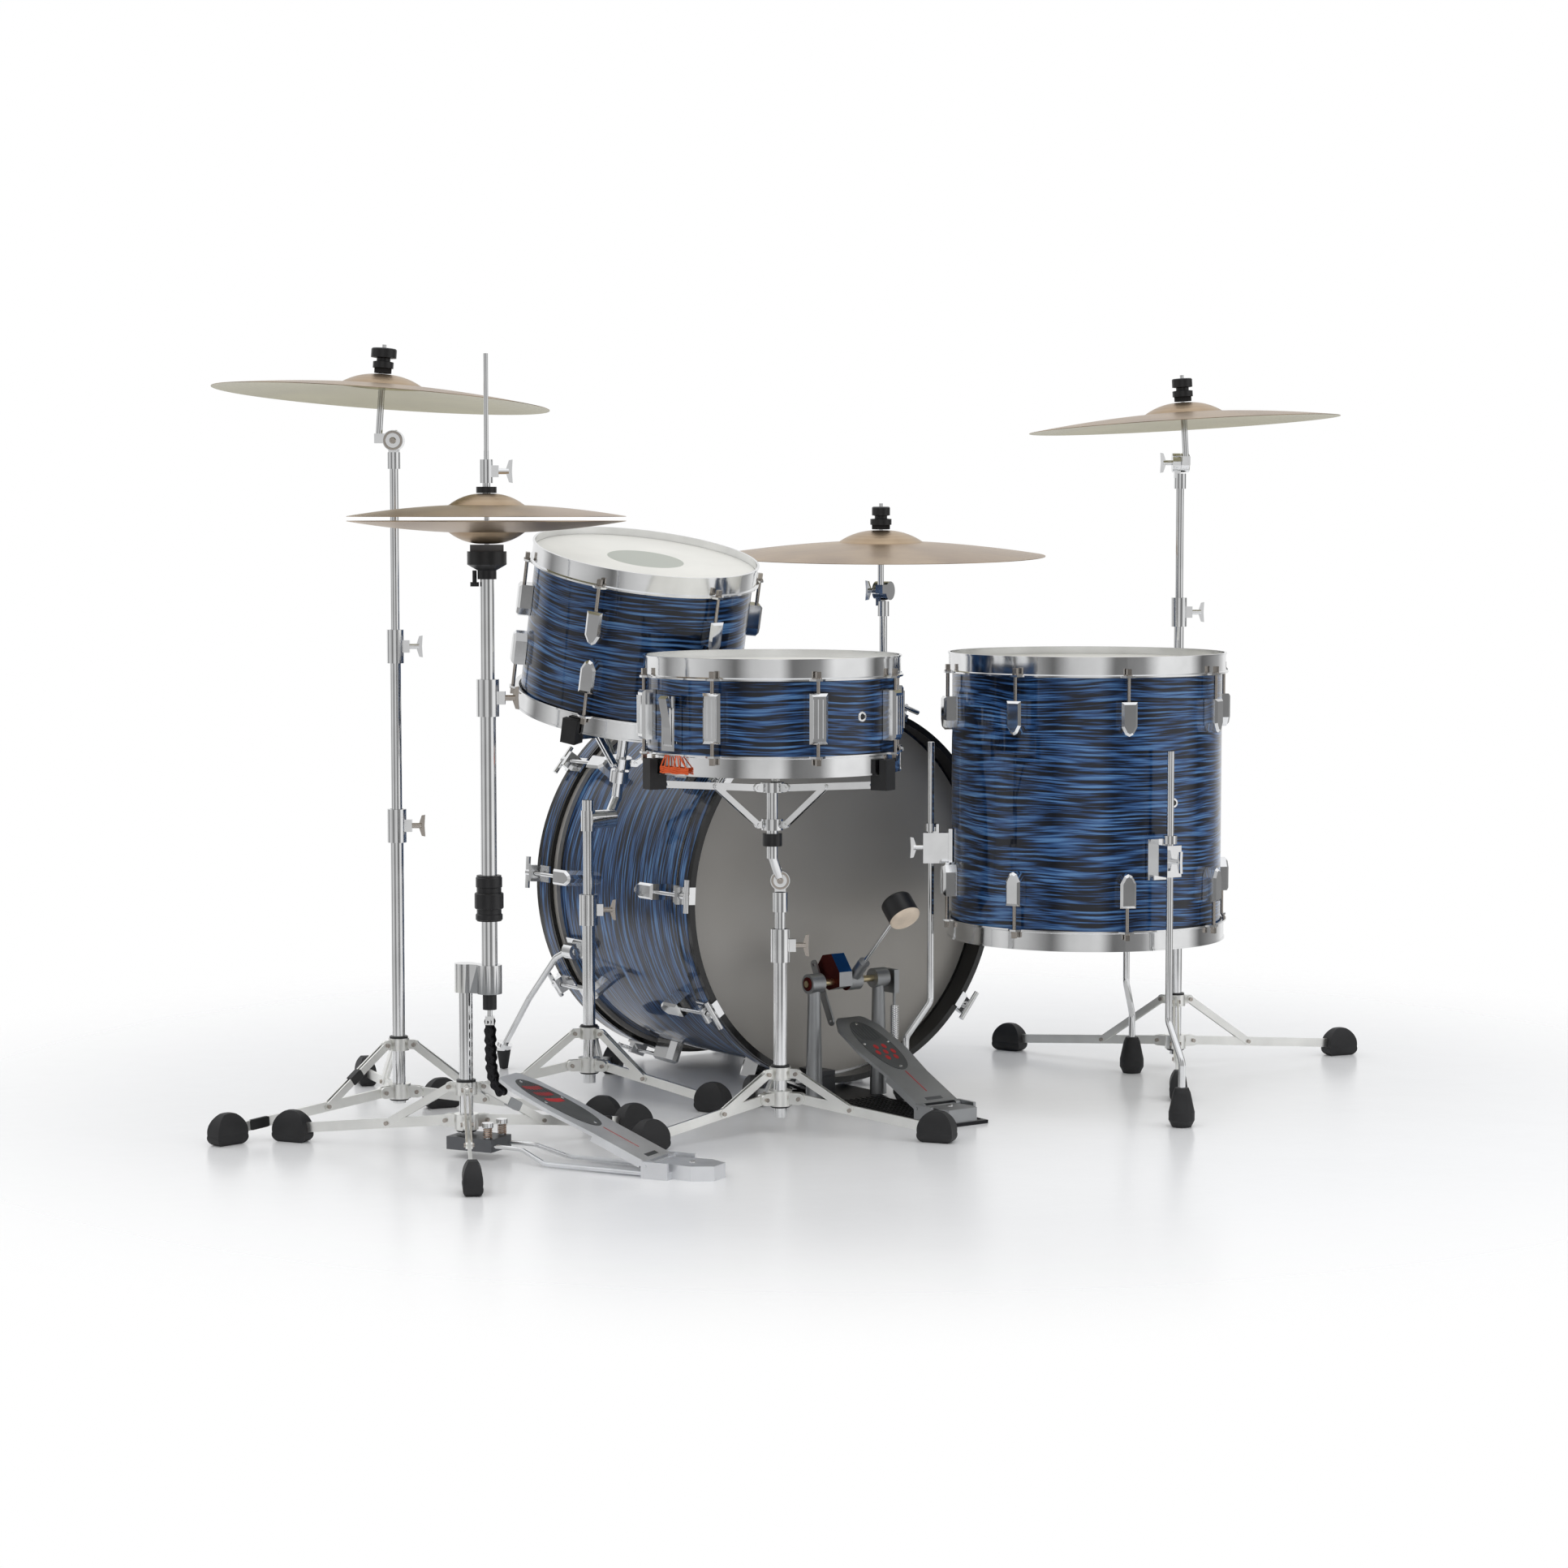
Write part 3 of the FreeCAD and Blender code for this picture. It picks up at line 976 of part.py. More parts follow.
SEAT_TOP = 838.0
upper = tube(size("column_radius"), 8.0, 470, 813)
cup = turned([(size("column_radius"), 800), (13, 800), (13, 812), (27, 820), (27, 838), (8, 838), (8, 813),
              (size("column_radius"), 813)])
felt = rod(Vector(0, 0, SEAT_TOP), Vector(0, 0, SEAT_TOP + 9), 23, 8)
tilt_screw = rod(Vector(-17, 0, 812), Vector(-17, 0, 796), 3).fuse(
    rod(Vector(-17, 0, 796), Vector(-17, 0, 790), 6))
keep_shapes("hihat_upper_tube", [upper, cup, felt, tilt_screw], HIHAT_AXIS)
HAT_RISE, HAT_BELL, HAT_BELL_RISE = 31.0, 52.0, 16.0
hat = cymbal(size("hihat_radius"), HAT_RISE, HAT_BELL, HAT_BELL_RISE, size("cymbal_hole"))
upside = Placement(Vector(0, 0, SEAT_TOP + 10), Rotation(Vector(1, 0, 0), 180))
keep_shapes("hihat_bottom_cymbal", [hat], HIHAT_AXIS.multiply(upside))
TOP_HAT = 917.0
keep_shapes("hihat_top_cymbal", [hat], HIHAT_AXIS.multiply(at(0, 0, TOP_HAT)))

pull = rod(Vector(0, 0, 196), Vector(0, 0, 975), PULL_ROD)
pull = pull.fuse(rod(Vector(0, 0, 975), Vector(0, 0, 1107), size("rod_top_radius")))
sleeve = tube(5.5, PULL_ROD, TOP_HAT - 14, TOP_HAT + 14)
nut = tube(12, 5.5, TOP_HAT - 14, TOP_HAT - 9)
low_felt = tube(13, 5.5, TOP_HAT - 9, TOP_HAT - 3)
high_felt = tube(14, 5.5, TOP_HAT + 0.5, TOP_HAT + 9)
body = tube(9.0, PULL_ROD, TOP_HAT + 14, TOP_HAT + 46).fuse(box((5, 17), (-5, 5),
                                                                (TOP_HAT + 22, TOP_HAT + 38)))
body = body.cut(rod(Vector(0, 0, 900), Vector(0, 0, 1000), PULL_ROD))
screw = moved(wing_screw(), at(17, 0, TOP_HAT + 30))
fork = box((-6, 6), (-7, 7), (186, 198)).cut(box((-8, 8), (-4.5, 4.5), (180, 194)))
fork = fork.cut(pull)
keep_shapes("hihat_rod", [pull, sleeve, nut, low_felt, high_felt, body, screw, fork], HIHAT_AXIS)

# the chain hangs from the rod's fork and turns under the toe
chain_start = size("hihat_tube_offset")
chain_path = [Vector(chain_start, 0, 193), Vector(chain_start + 2, 0, 128), Vector(chain_start + 9, 0, 100),
              Vector(chain_start + 26, 0, 88)]
keep_shapes("hihat_chain", [bent_rod(chain_path, 4.2, 14)], column)


# ---------------------------------------------------------------- kick pedal

px, hinge_y, hinge_z = size("pedal_x"), size("pedal_hinge_y"), size("pedal_hinge_z")
axle_y, axle_z, half = size("axle_y"), size("axle_z"), size("axle_half")
KICK = Placement(Vector(px, hinge_y, hinge_z), Rotation(UP, 90))
kick_board = footboard(size("pedal_length"), HEEL_HALF, 44.0, 26.0)
keep_shapes("kick_footboard", [kick_board],
            KICK.multiply(Placement(ORIGIN, Rotation(Vector(0, 1, 0), -size("pedal_angle")))))

plate = plan_prism([(px - 70, 20), (px + 70, 20), (px + 70, -60), (px + 45, -130), (px + 45, -365),
                    (px - 45, -365), (px - 45, -130), (px - 70, -60)], (0, 5))
jaw_pad = box((px - 20, px + 20), (-8, 30), (5, 12))
jaw_stem = box((px - 16, px + 16), (-30, -14), (5, 30))
jaw = plan_prism([(px - 16, -30), (px + 16, -30), (px + 12, 24), (px - 12, 24)], (30.5, 38))
keep_shapes("kick_base_plate", [plate, jaw_pad])

posts = [jaw_stem.fuse(jaw).removeSplitter()]
bore = 5.0 + PIN_GAP
for side in (-1, 1):
    x = px + side * half
    housing = rod(Vector(x - 12, axle_y, axle_z), Vector(x + 12, axle_y, axle_z), 15)
    post = Part.makeCone(13, 9.5, axle_z - 15, Vector(x, axle_y, 5), UP)
    posts.append(post.fuse(housing).cut(rod(Vector(x - 20, axle_y, axle_z),
                                            Vector(x + 20, axle_y, axle_z), bore)).removeSplitter())
kick_heel = moved(heel_plate(HEEL_HALF, hinge_z - 5, 56.0, 26.0),
                  Placement(Vector(px, hinge_y, 5), Rotation(UP, 90)))
spring_x = px + half + 22
spring_low = box((px + half - 4, spring_x + 5), (axle_y - 14, axle_y - 8), (62, 70))
posts[-1] = posts[-1].fuse(spring_low).removeSplitter()
spring = rod(Vector(spring_x, axle_y - 11, 82), Vector(spring_x, axle_y - 11, 140), 5.5)
eye_bolt = rod(Vector(spring_x, axle_y - 11, 70), Vector(spring_x, axle_y - 11, 82), 2.2)
keep_shapes("kick_posts", posts + [kick_heel, spring, eye_bolt])

lean = math.radians(size("beater_lean"))
along = Vector(0, -math.sin(lean), math.cos(lean))
axle_mid = Vector(px, axle_y, axle_z)
axle = rod(axle_mid - ACROSS * (half + 15), axle_mid + ACROSS * (half + 26), 5.0)
cam_outline = [(-17, -6), (-17, 16), (4, 42), (26, 38), (40, 20), (40, -4), (10, -14)]
cam_points = [Vector(px - 26, axle_y + y, axle_z + z) for y, z in cam_outline]
cam = Part.Face(Part.makePolygon(cam_points + cam_points[:1])).extrude(ACROSS * 24)
hub = rod(axle_mid - ACROSS * 2, axle_mid + ACROSS * 22, 15)
hub = hub.fuse(rod(axle_mid + ACROSS * 10, axle_mid + ACROSS * 10 + along * 44, 9))
shaft_start = axle_mid + ACROSS * 10
shaft = rod(shaft_start, shaft_start + along * (size("beater_radius") - 8), 3.0)
head_mid = shaft_start + along * size("beater_radius")
forward = Vector(0, math.cos(lean), math.sin(lean))
beater = rod(head_mid - forward * 20, head_mid + forward * 20, 24)
beater = beater.makeFillet(6, beater.Edges)
rocker = box((px + half + 17, px + half + 26), (axle_y - 18, axle_y + 8), (axle_z - 24, axle_z + 12))
drive = axle.fuse([cam, hub, shaft, rocker]).removeSplitter().cut(beater)
hook = rod(Vector(spring_x, axle_y - 11, 140), Vector(spring_x, axle_y - 11, axle_z - 24), 2.2)
keep_shapes("kick_beater", [drive, beater, hook])

angle = math.radians(size("pedal_angle"))
toe_y = hinge_y + size("pedal_length") * math.cos(angle)
toe_z = hinge_z + size("pedal_length") * math.sin(angle)
PIN_RADIUS, PIN_TURN, LINK_X = 45.0, 30.0, px - 32
pin_y = axle_y + PIN_RADIUS * math.cos(math.radians(PIN_TURN))
pin_z = axle_z + PIN_RADIUS * math.sin(math.radians(PIN_TURN))
link = strap((toe_y, toe_z), (pin_y, pin_z), 14, (-1.5, 1.5), 2.5 + PIN_GAP)
link_place = Placement(Vector(LINK_X, 0, 0), Rotation(UP, 90))
keep_shapes("kick_link", [moved(link, link_place)])


# ---------------------------------------------------------------- check and write

def finish():
    doc.recompute()
    for obj in doc.Objects:
        if "Invalid" in obj.State or "Error" in obj.State:
            raise ValueError("%s: %s" % (obj.Label, obj.State))
    os.makedirs("parts", exist_ok=True)
    for node in nodes:
        shape = node.Shape
        if shape.isNull() or not shape.isValid():
            raise ValueError(node.Label + " has a bad shape")
        shape.exportStep("parts/%s.step" % node.Label)
        print(node.Label, len(shape.Solids), "solids", round(shape.Volume / 1000.0, 1), "cm3")


finish()
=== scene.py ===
import math

import bpy
from mathutils import Euler, Matrix, Vector


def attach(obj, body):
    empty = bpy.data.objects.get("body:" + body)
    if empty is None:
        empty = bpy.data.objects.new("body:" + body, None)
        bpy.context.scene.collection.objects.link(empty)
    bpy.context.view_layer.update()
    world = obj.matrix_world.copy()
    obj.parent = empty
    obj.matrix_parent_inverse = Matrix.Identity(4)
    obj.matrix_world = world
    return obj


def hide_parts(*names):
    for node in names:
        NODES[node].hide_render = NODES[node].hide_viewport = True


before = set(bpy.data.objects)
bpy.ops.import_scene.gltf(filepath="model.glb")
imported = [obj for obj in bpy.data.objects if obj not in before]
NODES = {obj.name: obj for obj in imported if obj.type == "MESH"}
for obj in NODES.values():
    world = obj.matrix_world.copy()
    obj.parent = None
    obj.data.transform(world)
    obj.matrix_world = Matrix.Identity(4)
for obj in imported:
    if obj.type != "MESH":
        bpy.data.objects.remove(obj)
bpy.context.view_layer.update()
scene = bpy.context.scene
MM = 0.001
UP = Vector((0, 0, 1))

# ---------------------------------------------------------------- places

def place(x, y, z, turn=0.0):
    """A frame at x, y, z in millimetres, turned about Z by degrees."""
    return Matrix.Translation(Vector((x, y, z)) * MM) @ Matrix.Rotation(math.radians(turn), 4, "Z")


def tilted(x, y, z, axis):
    """A frame at x, y, z in millimetres whose Z runs along axis."""
    turn = UP.rotation_difference(Vector(axis).normalized()).to_matrix().to_4x4()
    return Matrix.Translation(Vector((x, y, z)) * MM) @ turn


WORLD = Matrix.Identity(4)
BASS = place(0, 37, 304) @ Matrix.Rotation(math.radians(-90), 4, "X")
TOM = place(-298.3, 158, 597) @ Matrix.Rotation(math.radians(12.6), 4, "X")
SNARE = place(-326.5, -257.2, 538.5)
FLOOR_TOM = place(238.9, -284.8, 263)
CRASH_LEFT = tilted(-700.41, 191.69, 1090.72, (0.0772, -0.0065, 0.997))
CRASH_RIGHT = tilted(550.14, -152.84, 1063.84, (-0.0349, 0.0469, 0.9983))
RIDE = tilted(191.37, 163.64, 861.93, (-0.0225, -0.031, 0.9993))
HAT_AXIS = place(-747.9, -174.5, 0)
HAT_TOP = place(-747.9, -174.5, 917)
HAT_BOTTOM = place(-747.9, -174.5, 848)
COLUMN = place(-765.9, -139.9, 0, 297.5)
HAT_HINGE = place(-625.1, -410.4, 17, 117.5)
HAT_SLOPE, HAT_LENGTH = 22.09, 257.9
HAT_BOARD = HAT_HINGE @ Matrix.Rotation(math.radians(-HAT_SLOPE), 4, "Y")
KICK_HINGE = place(-60, -306, 22, 90)
KICK_SLOPE, KICK_LENGTH = 24.7, 244.0
KICK_BOARD = KICK_HINGE @ Matrix.Rotation(math.radians(-KICK_SLOPE), 4, "Y")
AXLE = Vector((-60, -80, 183))
BEATER_LEAN = math.radians(45.7)


# ---------------------------------------------------------------- shaders

def shader(name, colour, roughness=0.4, metallic=0.0):
    """A new material with one Principled shader, which it returns with its node tree."""
    material = bpy.data.materials.new(name)
    material.use_nodes = True
    tree = material.node_tree
    surface = tree.nodes["Principled BSDF"]
    surface.inputs["Base Color"].default_value = (*colour, 1)
    surface.inputs["Roughness"].default_value = roughness
    surface.inputs["Metallic"].default_value = metallic
    return material, tree, surface


def coordinates(tree, local=WORLD, scale=(1, 1, 1)):
    """The rest position of each point, in the frame local and then scaled."""
    source = tree.nodes.new("ShaderNodeTexCoord").outputs["Object"]
    inverse = tree.nodes.new("ShaderNodeMapping")
    inverse.vector_type = "TEXTURE"
    inverse.inputs["Location"].default_value = local.to_translation()
    inverse.inputs["Rotation"].default_value = local.to_euler()
    stretch = tree.nodes.new("ShaderNodeMapping")
    stretch.inputs["Scale"].default_value = scale
    tree.links.new(source, inverse.inputs["Vector"])
    tree.links.new(inverse.outputs["Vector"], stretch.inputs["Vector"])
    return stretch.outputs["Vector"]


def noise(tree, vector, scale, detail=2.0, distortion=0.0):
    """A noise texture's value."""
    texture = tree.nodes.new("ShaderNodeTexNoise")
    texture.inputs["Scale"].default_value = scale
    texture.inputs["Detail"].default_value = detail
    texture.inputs["Distortion"].default_value = distortion
    tree.links.new(vector, texture.inputs["Vector"])
    return texture.outputs["Fac"]


def ramp(tree, value, stops):
    """Colours by value, as (position, (r, g, b)) stops."""
    node = tree.nodes.new("ShaderNodeValToRGB")
    elements = node.color_ramp.elements
    while len(elements) < len(stops):
        elements.new(0.5)
    for element, (position, colour) in zip(elements, stops):
        element.position = position
        element.color = (*colour, 1)
    tree.links.new(value, node.inputs["Fac"])
    return node.outputs["Color"]


def spread(tree, value, low, high):
    """Value from 0 to 1 turned into low to high."""
    node = tree.nodes.new("ShaderNodeMapRange")
    node.inputs["To Min"].default_value = low
    node.inputs["To Max"].default_value = high
    tree.links.new(value, node.inputs["Value"])
    return node.outputs["Result"]


def sums(tree, operation, first, second):
    """One Math node: each input is a number or an output."""
    node = tree.nodes.new("ShaderNodeMath")
    node.operation = operation
    for socket, given in zip(node.inputs, (first, second)):
        if isinstance(given, (int, float)):
            socket.default_value = given
        else:
            tree.links.new(given, socket)
    return node.outputs["Value"]


def bump(tree, surface, height, strength, distance):
    """Gives a shader a fine relief."""
    node = tree.nodes.new("ShaderNodeBump")
    node.inputs["Strength"].default_value = strength
    node.inputs["Distance"].default_value = distance
    tree.links.new(height, node.inputs["Height"])
    tree.links.new(node.outputs["Normal"], surface.inputs["Normal"])


def radius_of(tree, vector):
    """The distance of a point from the local Z axis."""
    parts = tree.nodes.new("ShaderNodeSeparateXYZ")
    tree.links.new(vector, parts.inputs["Vector"])
    squares = [sums(tree, "MULTIPLY", parts.outputs[n], parts.outputs[n]) for n in ("X", "Y")]
    return sums(tree, "SQRT", sums(tree, "ADD", *squares), 0.0)


def metal(name, colour, roughness, change=0.04, scale=22.0):
    """A metal whose gloss and shade drift over its surface."""
    material, tree, surface = shader(name, colour, roughness, 1.0)
    drift = noise(tree, coordinates(tree), scale, 3.0)
    tree.links.new(spread(tree, drift, roughness - change, roughness + change),
                   surface.inputs["Roughness"])
    darker = tuple(part * 0.88 for part in colour)
    tree.links.new(ramp(tree, drift, [(0.3, darker), (0.7, colour)]), surface.inputs["Base Color"])
    return material


def plastic(name, colour, roughness, grain=260.0, relief=0.0003):
    """Rubber, nylon or felt: one colour with a drifting shade and a fine grain."""
    material, tree, surface = shader(name, colour, roughness)
    vector = coordinates(tree)
    lighter = tuple(min(1.0, part * 1.25 + 0.004) for part in colour)
    tree.links.new(ramp(tree, noise(tree, vector, 35.0, 3.0), [(0.35, colour), (0.75, lighter)]),
                   surface.inputs["Base Color"])
    bump(tree, surface, noise(tree, vector, grain, 2.0), 0.2, relief)
    return material


def pearl_wrap(name, local, seed):
    """A glossy blue pearl wrap: long wavy streaks that run round the drum."""
    material, tree, surface = shader(name, (0.05, 0.14, 0.45), 0.32)
    plain = coordinates(tree, local)
    sway = noise(tree, coordinates(tree, local, (6, 6, 8)), 1.0, 1.0)
    offset = tree.nodes.new("ShaderNodeCombineXYZ")
    offset.inputs["X"].default_value = seed
    lift = sums(tree, "MULTIPLY", sums(tree, "SUBTRACT", sway, 0.5), 0.020)
    tree.links.new(lift, offset.inputs["Z"])
    moved = tree.nodes.new("ShaderNodeVectorMath")
    tree.links.new(plain, moved.inputs[0])
    tree.links.new(offset.outputs["Vector"], moved.inputs[1])
    stretched = tree.nodes.new("ShaderNodeMapping")
    stretched.inputs["Scale"].default_value = (11, 11, 300)
    tree.links.new(moved.outputs["Vector"], stretched.inputs["Vector"])
    streaks = noise(tree, stretched.outputs["Vector"], 1.0, 2.6, 0.15)
    fine = tree.nodes.new("ShaderNodeMapping")
    fine.inputs["Scale"].default_value = (30, 30, 800)
    tree.links.new(moved.outputs["Vector"], fine.inputs["Vector"])
    threads = noise(tree, fine.outputs["Vector"], 1.0, 1.0, 0.3)
    thin = sums(tree, "MULTIPLY", sums(tree, "SUBTRACT", threads, 0.5), 0.16)
    both = sums(tree, "ADD", streaks, thin)
    colour = ramp(tree, both, [
        (0.40, (0.002, 0.004, 0.010)), (0.465, (0.004, 0.010, 0.028)), (0.495, (0.014, 0.044, 0.120)),
        (0.56, (0.032, 0.098, 0.265)), (0.68, (0.115, 0.265, 0.520))])
    tree.links.new(colour, surface.inputs["Base Color"])
    surface.inputs["Coat Weight"].default_value = 0.8
    surface.inputs["Coat Roughness"].default_value = 0.03
    surface.inputs["Specular IOR Level"].default_value = 0.15
    return material


def cymbal_bronze(name, local, colour, shade):
    """Satin bronze with fine rings cut round the bell, and darker cloudy patches."""
    material, tree, surface = shader(name, colour, 0.34, 1.0)
    vector = coordinates(tree, local)
    radius = radius_of(tree, vector)
    wave = sums(tree, "SINE", sums(tree, "MULTIPLY", radius, 3900.0), 0.0)
    slow = sums(tree, "SINE", sums(tree, "MULTIPLY", radius, 610.0), 0.0)
    rings = sums(tree, "ADD", sums(tree, "MULTIPLY", wave, 0.25), sums(tree, "MULTIPLY", slow, 0.25))
    cloud = noise(tree, vector, 9.0, 3.0)
    mixed = sums(tree, "ADD", cloud, sums(tree, "MULTIPLY", rings, 0.16))
    tree.links.new(ramp(tree, mixed, [(0.25, shade), (0.75, colour)]), surface.inputs["Base Color"])
    tree.links.new(spread(tree, cloud, 0.26, 0.40), surface.inputs["Roughness"])
    bump(tree, surface, rings, 0.35, 0.0004)
    return material


def drum_film(name, local, colour, dot=None, dot_radius=0.0):
    """A drumhead film: a faint mottle, and perhaps a round dot on its centre."""
    material, tree, surface = shader(name, colour, 0.5)
    vector = coordinates(tree, local)
    shade = tuple(part * 0.93 for part in colour)
    film = ramp(tree, noise(tree, vector, 14.0, 3.0), [(0.3, shade), (0.7, colour)])
    if dot:
        inside = sums(tree, "LESS_THAN", radius_of(tree, vector), dot_radius)
        mix = tree.nodes.new("ShaderNodeMix")
        mix.data_type = "RGBA"
        tree.links.new(inside, mix.inputs["Factor"])
        tree.links.new(film, mix.inputs["A"])
        mix.inputs["B"].default_value = (*dot, 1)
        film = mix.outputs["Result"]
    tree.links.new(film, surface.inputs["Base Color"])
    bump(tree, surface, noise(tree, vector, 900.0, 2.0), 0.12, 0.0002)
    return material


def brushed_film(name, local):
    """The bass drum's batter film: satin silver grey."""
    material, tree, surface = shader(name, (0.42, 0.40, 0.37), 0.42, 0.3)
    vector = coordinates(tree, local)
    cloud = noise(tree, vector, 4.0, 2.0)
    tree.links.new(ramp(tree, cloud, [(0.3, (0.40, 0.38, 0.35)), (0.7, (0.47, 0.455, 0.43))]),
                   surface.inputs["Base Color"])
    bump(tree, surface, noise(tree, vector, 1300.0, 2.0), 0.08, 0.0002)
    return material


CHROME = metal("chrome", (0.86, 0.865, 0.87), 0.10, 0.03)
ROD_STEEL = metal("rod_steel", (0.46, 0.42, 0.38), 0.22, 0.05)
ZINC = metal("zinc_steel", (0.90, 0.90, 0.87), 0.30, 0.05)
CAST = metal("cast_grey", (0.40, 0.41, 0.42), 0.42, 0.06, 30.0)
CAST_DARK = metal("cast_dark", (0.17, 0.175, 0.185), 0.45, 0.06, 30.0)
ALUMINIUM = metal("board_silver", (0.91, 0.92, 0.94), 0.45, 0.05)
BLACK_STEEL = metal("black_steel", (0.035, 0.035, 0.038), 0.45, 0.06, 30.0)
BRASS = metal("axle_brass", (0.62, 0.52, 0.32), 0.28, 0.05)
COPPER = metal("spring_copper", (0.55, 0.40, 0.31), 0.3, 0.05)
BLUE_METAL = metal("cam_blue", (0.02, 0.12, 0.36), 0.35, 0.05)
RED_METAL = metal("cam_red", (0.10, 0.014, 0.012), 0.4, 0.05)
RUBBER = plastic("rubber_black", (0.012, 0.012, 0.013), 0.62)
NYLON = plastic("nylon_black", (0.009, 0.009, 0.010), 0.38)
FELT_BLACK = plastic("felt_black", (0.014, 0.014, 0.015), 0.95, 900.0, 0.0008)
FELT_GREY = plastic("felt_grey", (0.11, 0.11, 0.115), 0.95, 900.0, 0.0008)
FELT_CREAM = plastic("felt_cream", (0.78, 0.66, 0.53), 0.8, 900.0, 0.0005)
RED_PAINT = plastic("red_paint", (0.36, 0.012, 0.014), 0.45)
PAD_GREY = plastic("pad_grey", (0.055, 0.058, 0.058), 0.55)
CORD_ORANGE = plastic("cord_orange", (0.80, 0.13, 0.03), 0.7, 1200.0)
LACQUER = plastic("black_lacquer", (0.006, 0.006, 0.006), 0.16, 90.0, 0.00005)
WRAP_BASS = pearl_wrap("pearl_wrap_bass", BASS, 1.3)
WRAP_TOM = pearl_wrap("pearl_wrap_tom", TOM, 4.1)
WRAP_SNARE = pearl_wrap("pearl_wrap_snare", SNARE, 7.7)
WRAP_FLOOR = pearl_wrap("pearl_wrap_floor", FLOOR_TOM, 2.9)
BRONZE, BRONZE_SHADE = (0.52, 0.40, 0.27), (0.30, 0.205, 0.13)
OLIVE, OLIVE_SHADE = (0.46, 0.43, 0.29), (0.31, 0.28, 0.17)


# ---------------------------------------------------------------- CAD nodes

def facing(node, local=WORLD):
    """Each face of a CAD node as (index, centre in millimetres, direction), in a local frame."""
    inverse = local.inverted()
    turn = inverse.to_3x3()
    for face in NODES[node].data.polygons:
        yield face.index, (inverse @ face.center) / MM, turn @ face.normal


def dress(node, default, *rules):
    """Gives a CAD node its material, and other materials to the faces that each rule picks.

    A rule is (material, frame, test), and the test gets a face's centre and direction in that frame.
    """
    mesh = NODES[node].data
    mesh.materials.clear()
    mesh.materials.append(default)
    for face in mesh.polygons:
        face.material_index = 0
    for material, local, picks in rules:
        mesh.materials.append(material)
        slot = len(mesh.materials) - 1
        for index, centre, direction in facing(node, local):
            if picks(centre, direction):
                mesh.polygons[index].material_index = slot


def across(point):
    """A point's distance from its frame's Z axis."""
    return math.hypot(point.x, point.y)


def dress_drums():
    """The shells, hoops, heads and metalwork of the four drums."""
    dress("bass_shell", WRAP_BASS)
    dress("tom_shell", WRAP_TOM)
    dress("snare_shell", WRAP_SNARE)
    dress("floor_tom_shell", WRAP_FLOOR)
    dress("bass_hoops", LACQUER)
    film = brushed_film("batter_film", BASS)
    dress("bass_heads", film)
    coated = (0.80, 0.79, 0.74)
    dress("tom_heads", drum_film("tom_film", TOM, coated, (0.43, 0.45, 0.40), 0.058))
    dress("snare_heads", drum_film("snare_film", SNARE, coated))
    dress("floor_tom_heads", drum_film("floor_film", FLOOR_TOM, coated))
    for drum in ("tom", "snare", "floor_tom"):
        dress(drum + "_hoops", CHROME)
        dress(drum + "_lugs", CHROME)
        dress(drum + "_tension_rods", ROD_STEEL)
    for node in ("bass_lugs", "bass_claws", "bass_t_rods", "bass_shell_brackets", "floor_tom_legs",
                 "floor_tom_brackets", "snare_wires", "strainer_lever", "snare_strainer"):
        dress(node, CHROME)
    for side in ("left", "right"):
        dress("spur_" + side, CHROME, (RUBBER, WORLD, lambda c, n: c.z < 31.3))


def dress_cymbals():
    """The five cymbals and the three tilters."""
    for name, local in (("crash_left", CRASH_LEFT), ("crash_right", CRASH_RIGHT), ("ride", RIDE)):
        under = cymbal_bronze(name + "_under", local, OLIVE, OLIVE_SHADE)
        dress(name + "_cymbal", cymbal_bronze(name + "_bronze", local, BRONZE, BRONZE_SHADE),
              (under, local, lambda c, n: n.z < -0.05))
        dress(name + "_tilter", CHROME,
              (FELT_BLACK, local, lambda c, n: -9.4 < c.z < -3.9 and 6 < across(c) < 14),
              (FELT_BLACK, local, lambda c, n: 1.5 < c.z < 9.1 and 6 < across(c) < 15),
              (NYLON, local, lambda c, n: c.z > 8.9 and across(c) > 4.2))
        dress(name + "_tube", CHROME)
    dress("hihat_top_cymbal", cymbal_bronze("hat_top_bronze", HAT_TOP, BRONZE, BRONZE_SHADE))
    dress("hihat_bottom_cymbal", cymbal_bronze("hat_bottom_bronze", HAT_BOTTOM, BRONZE, BRONZE_SHADE))


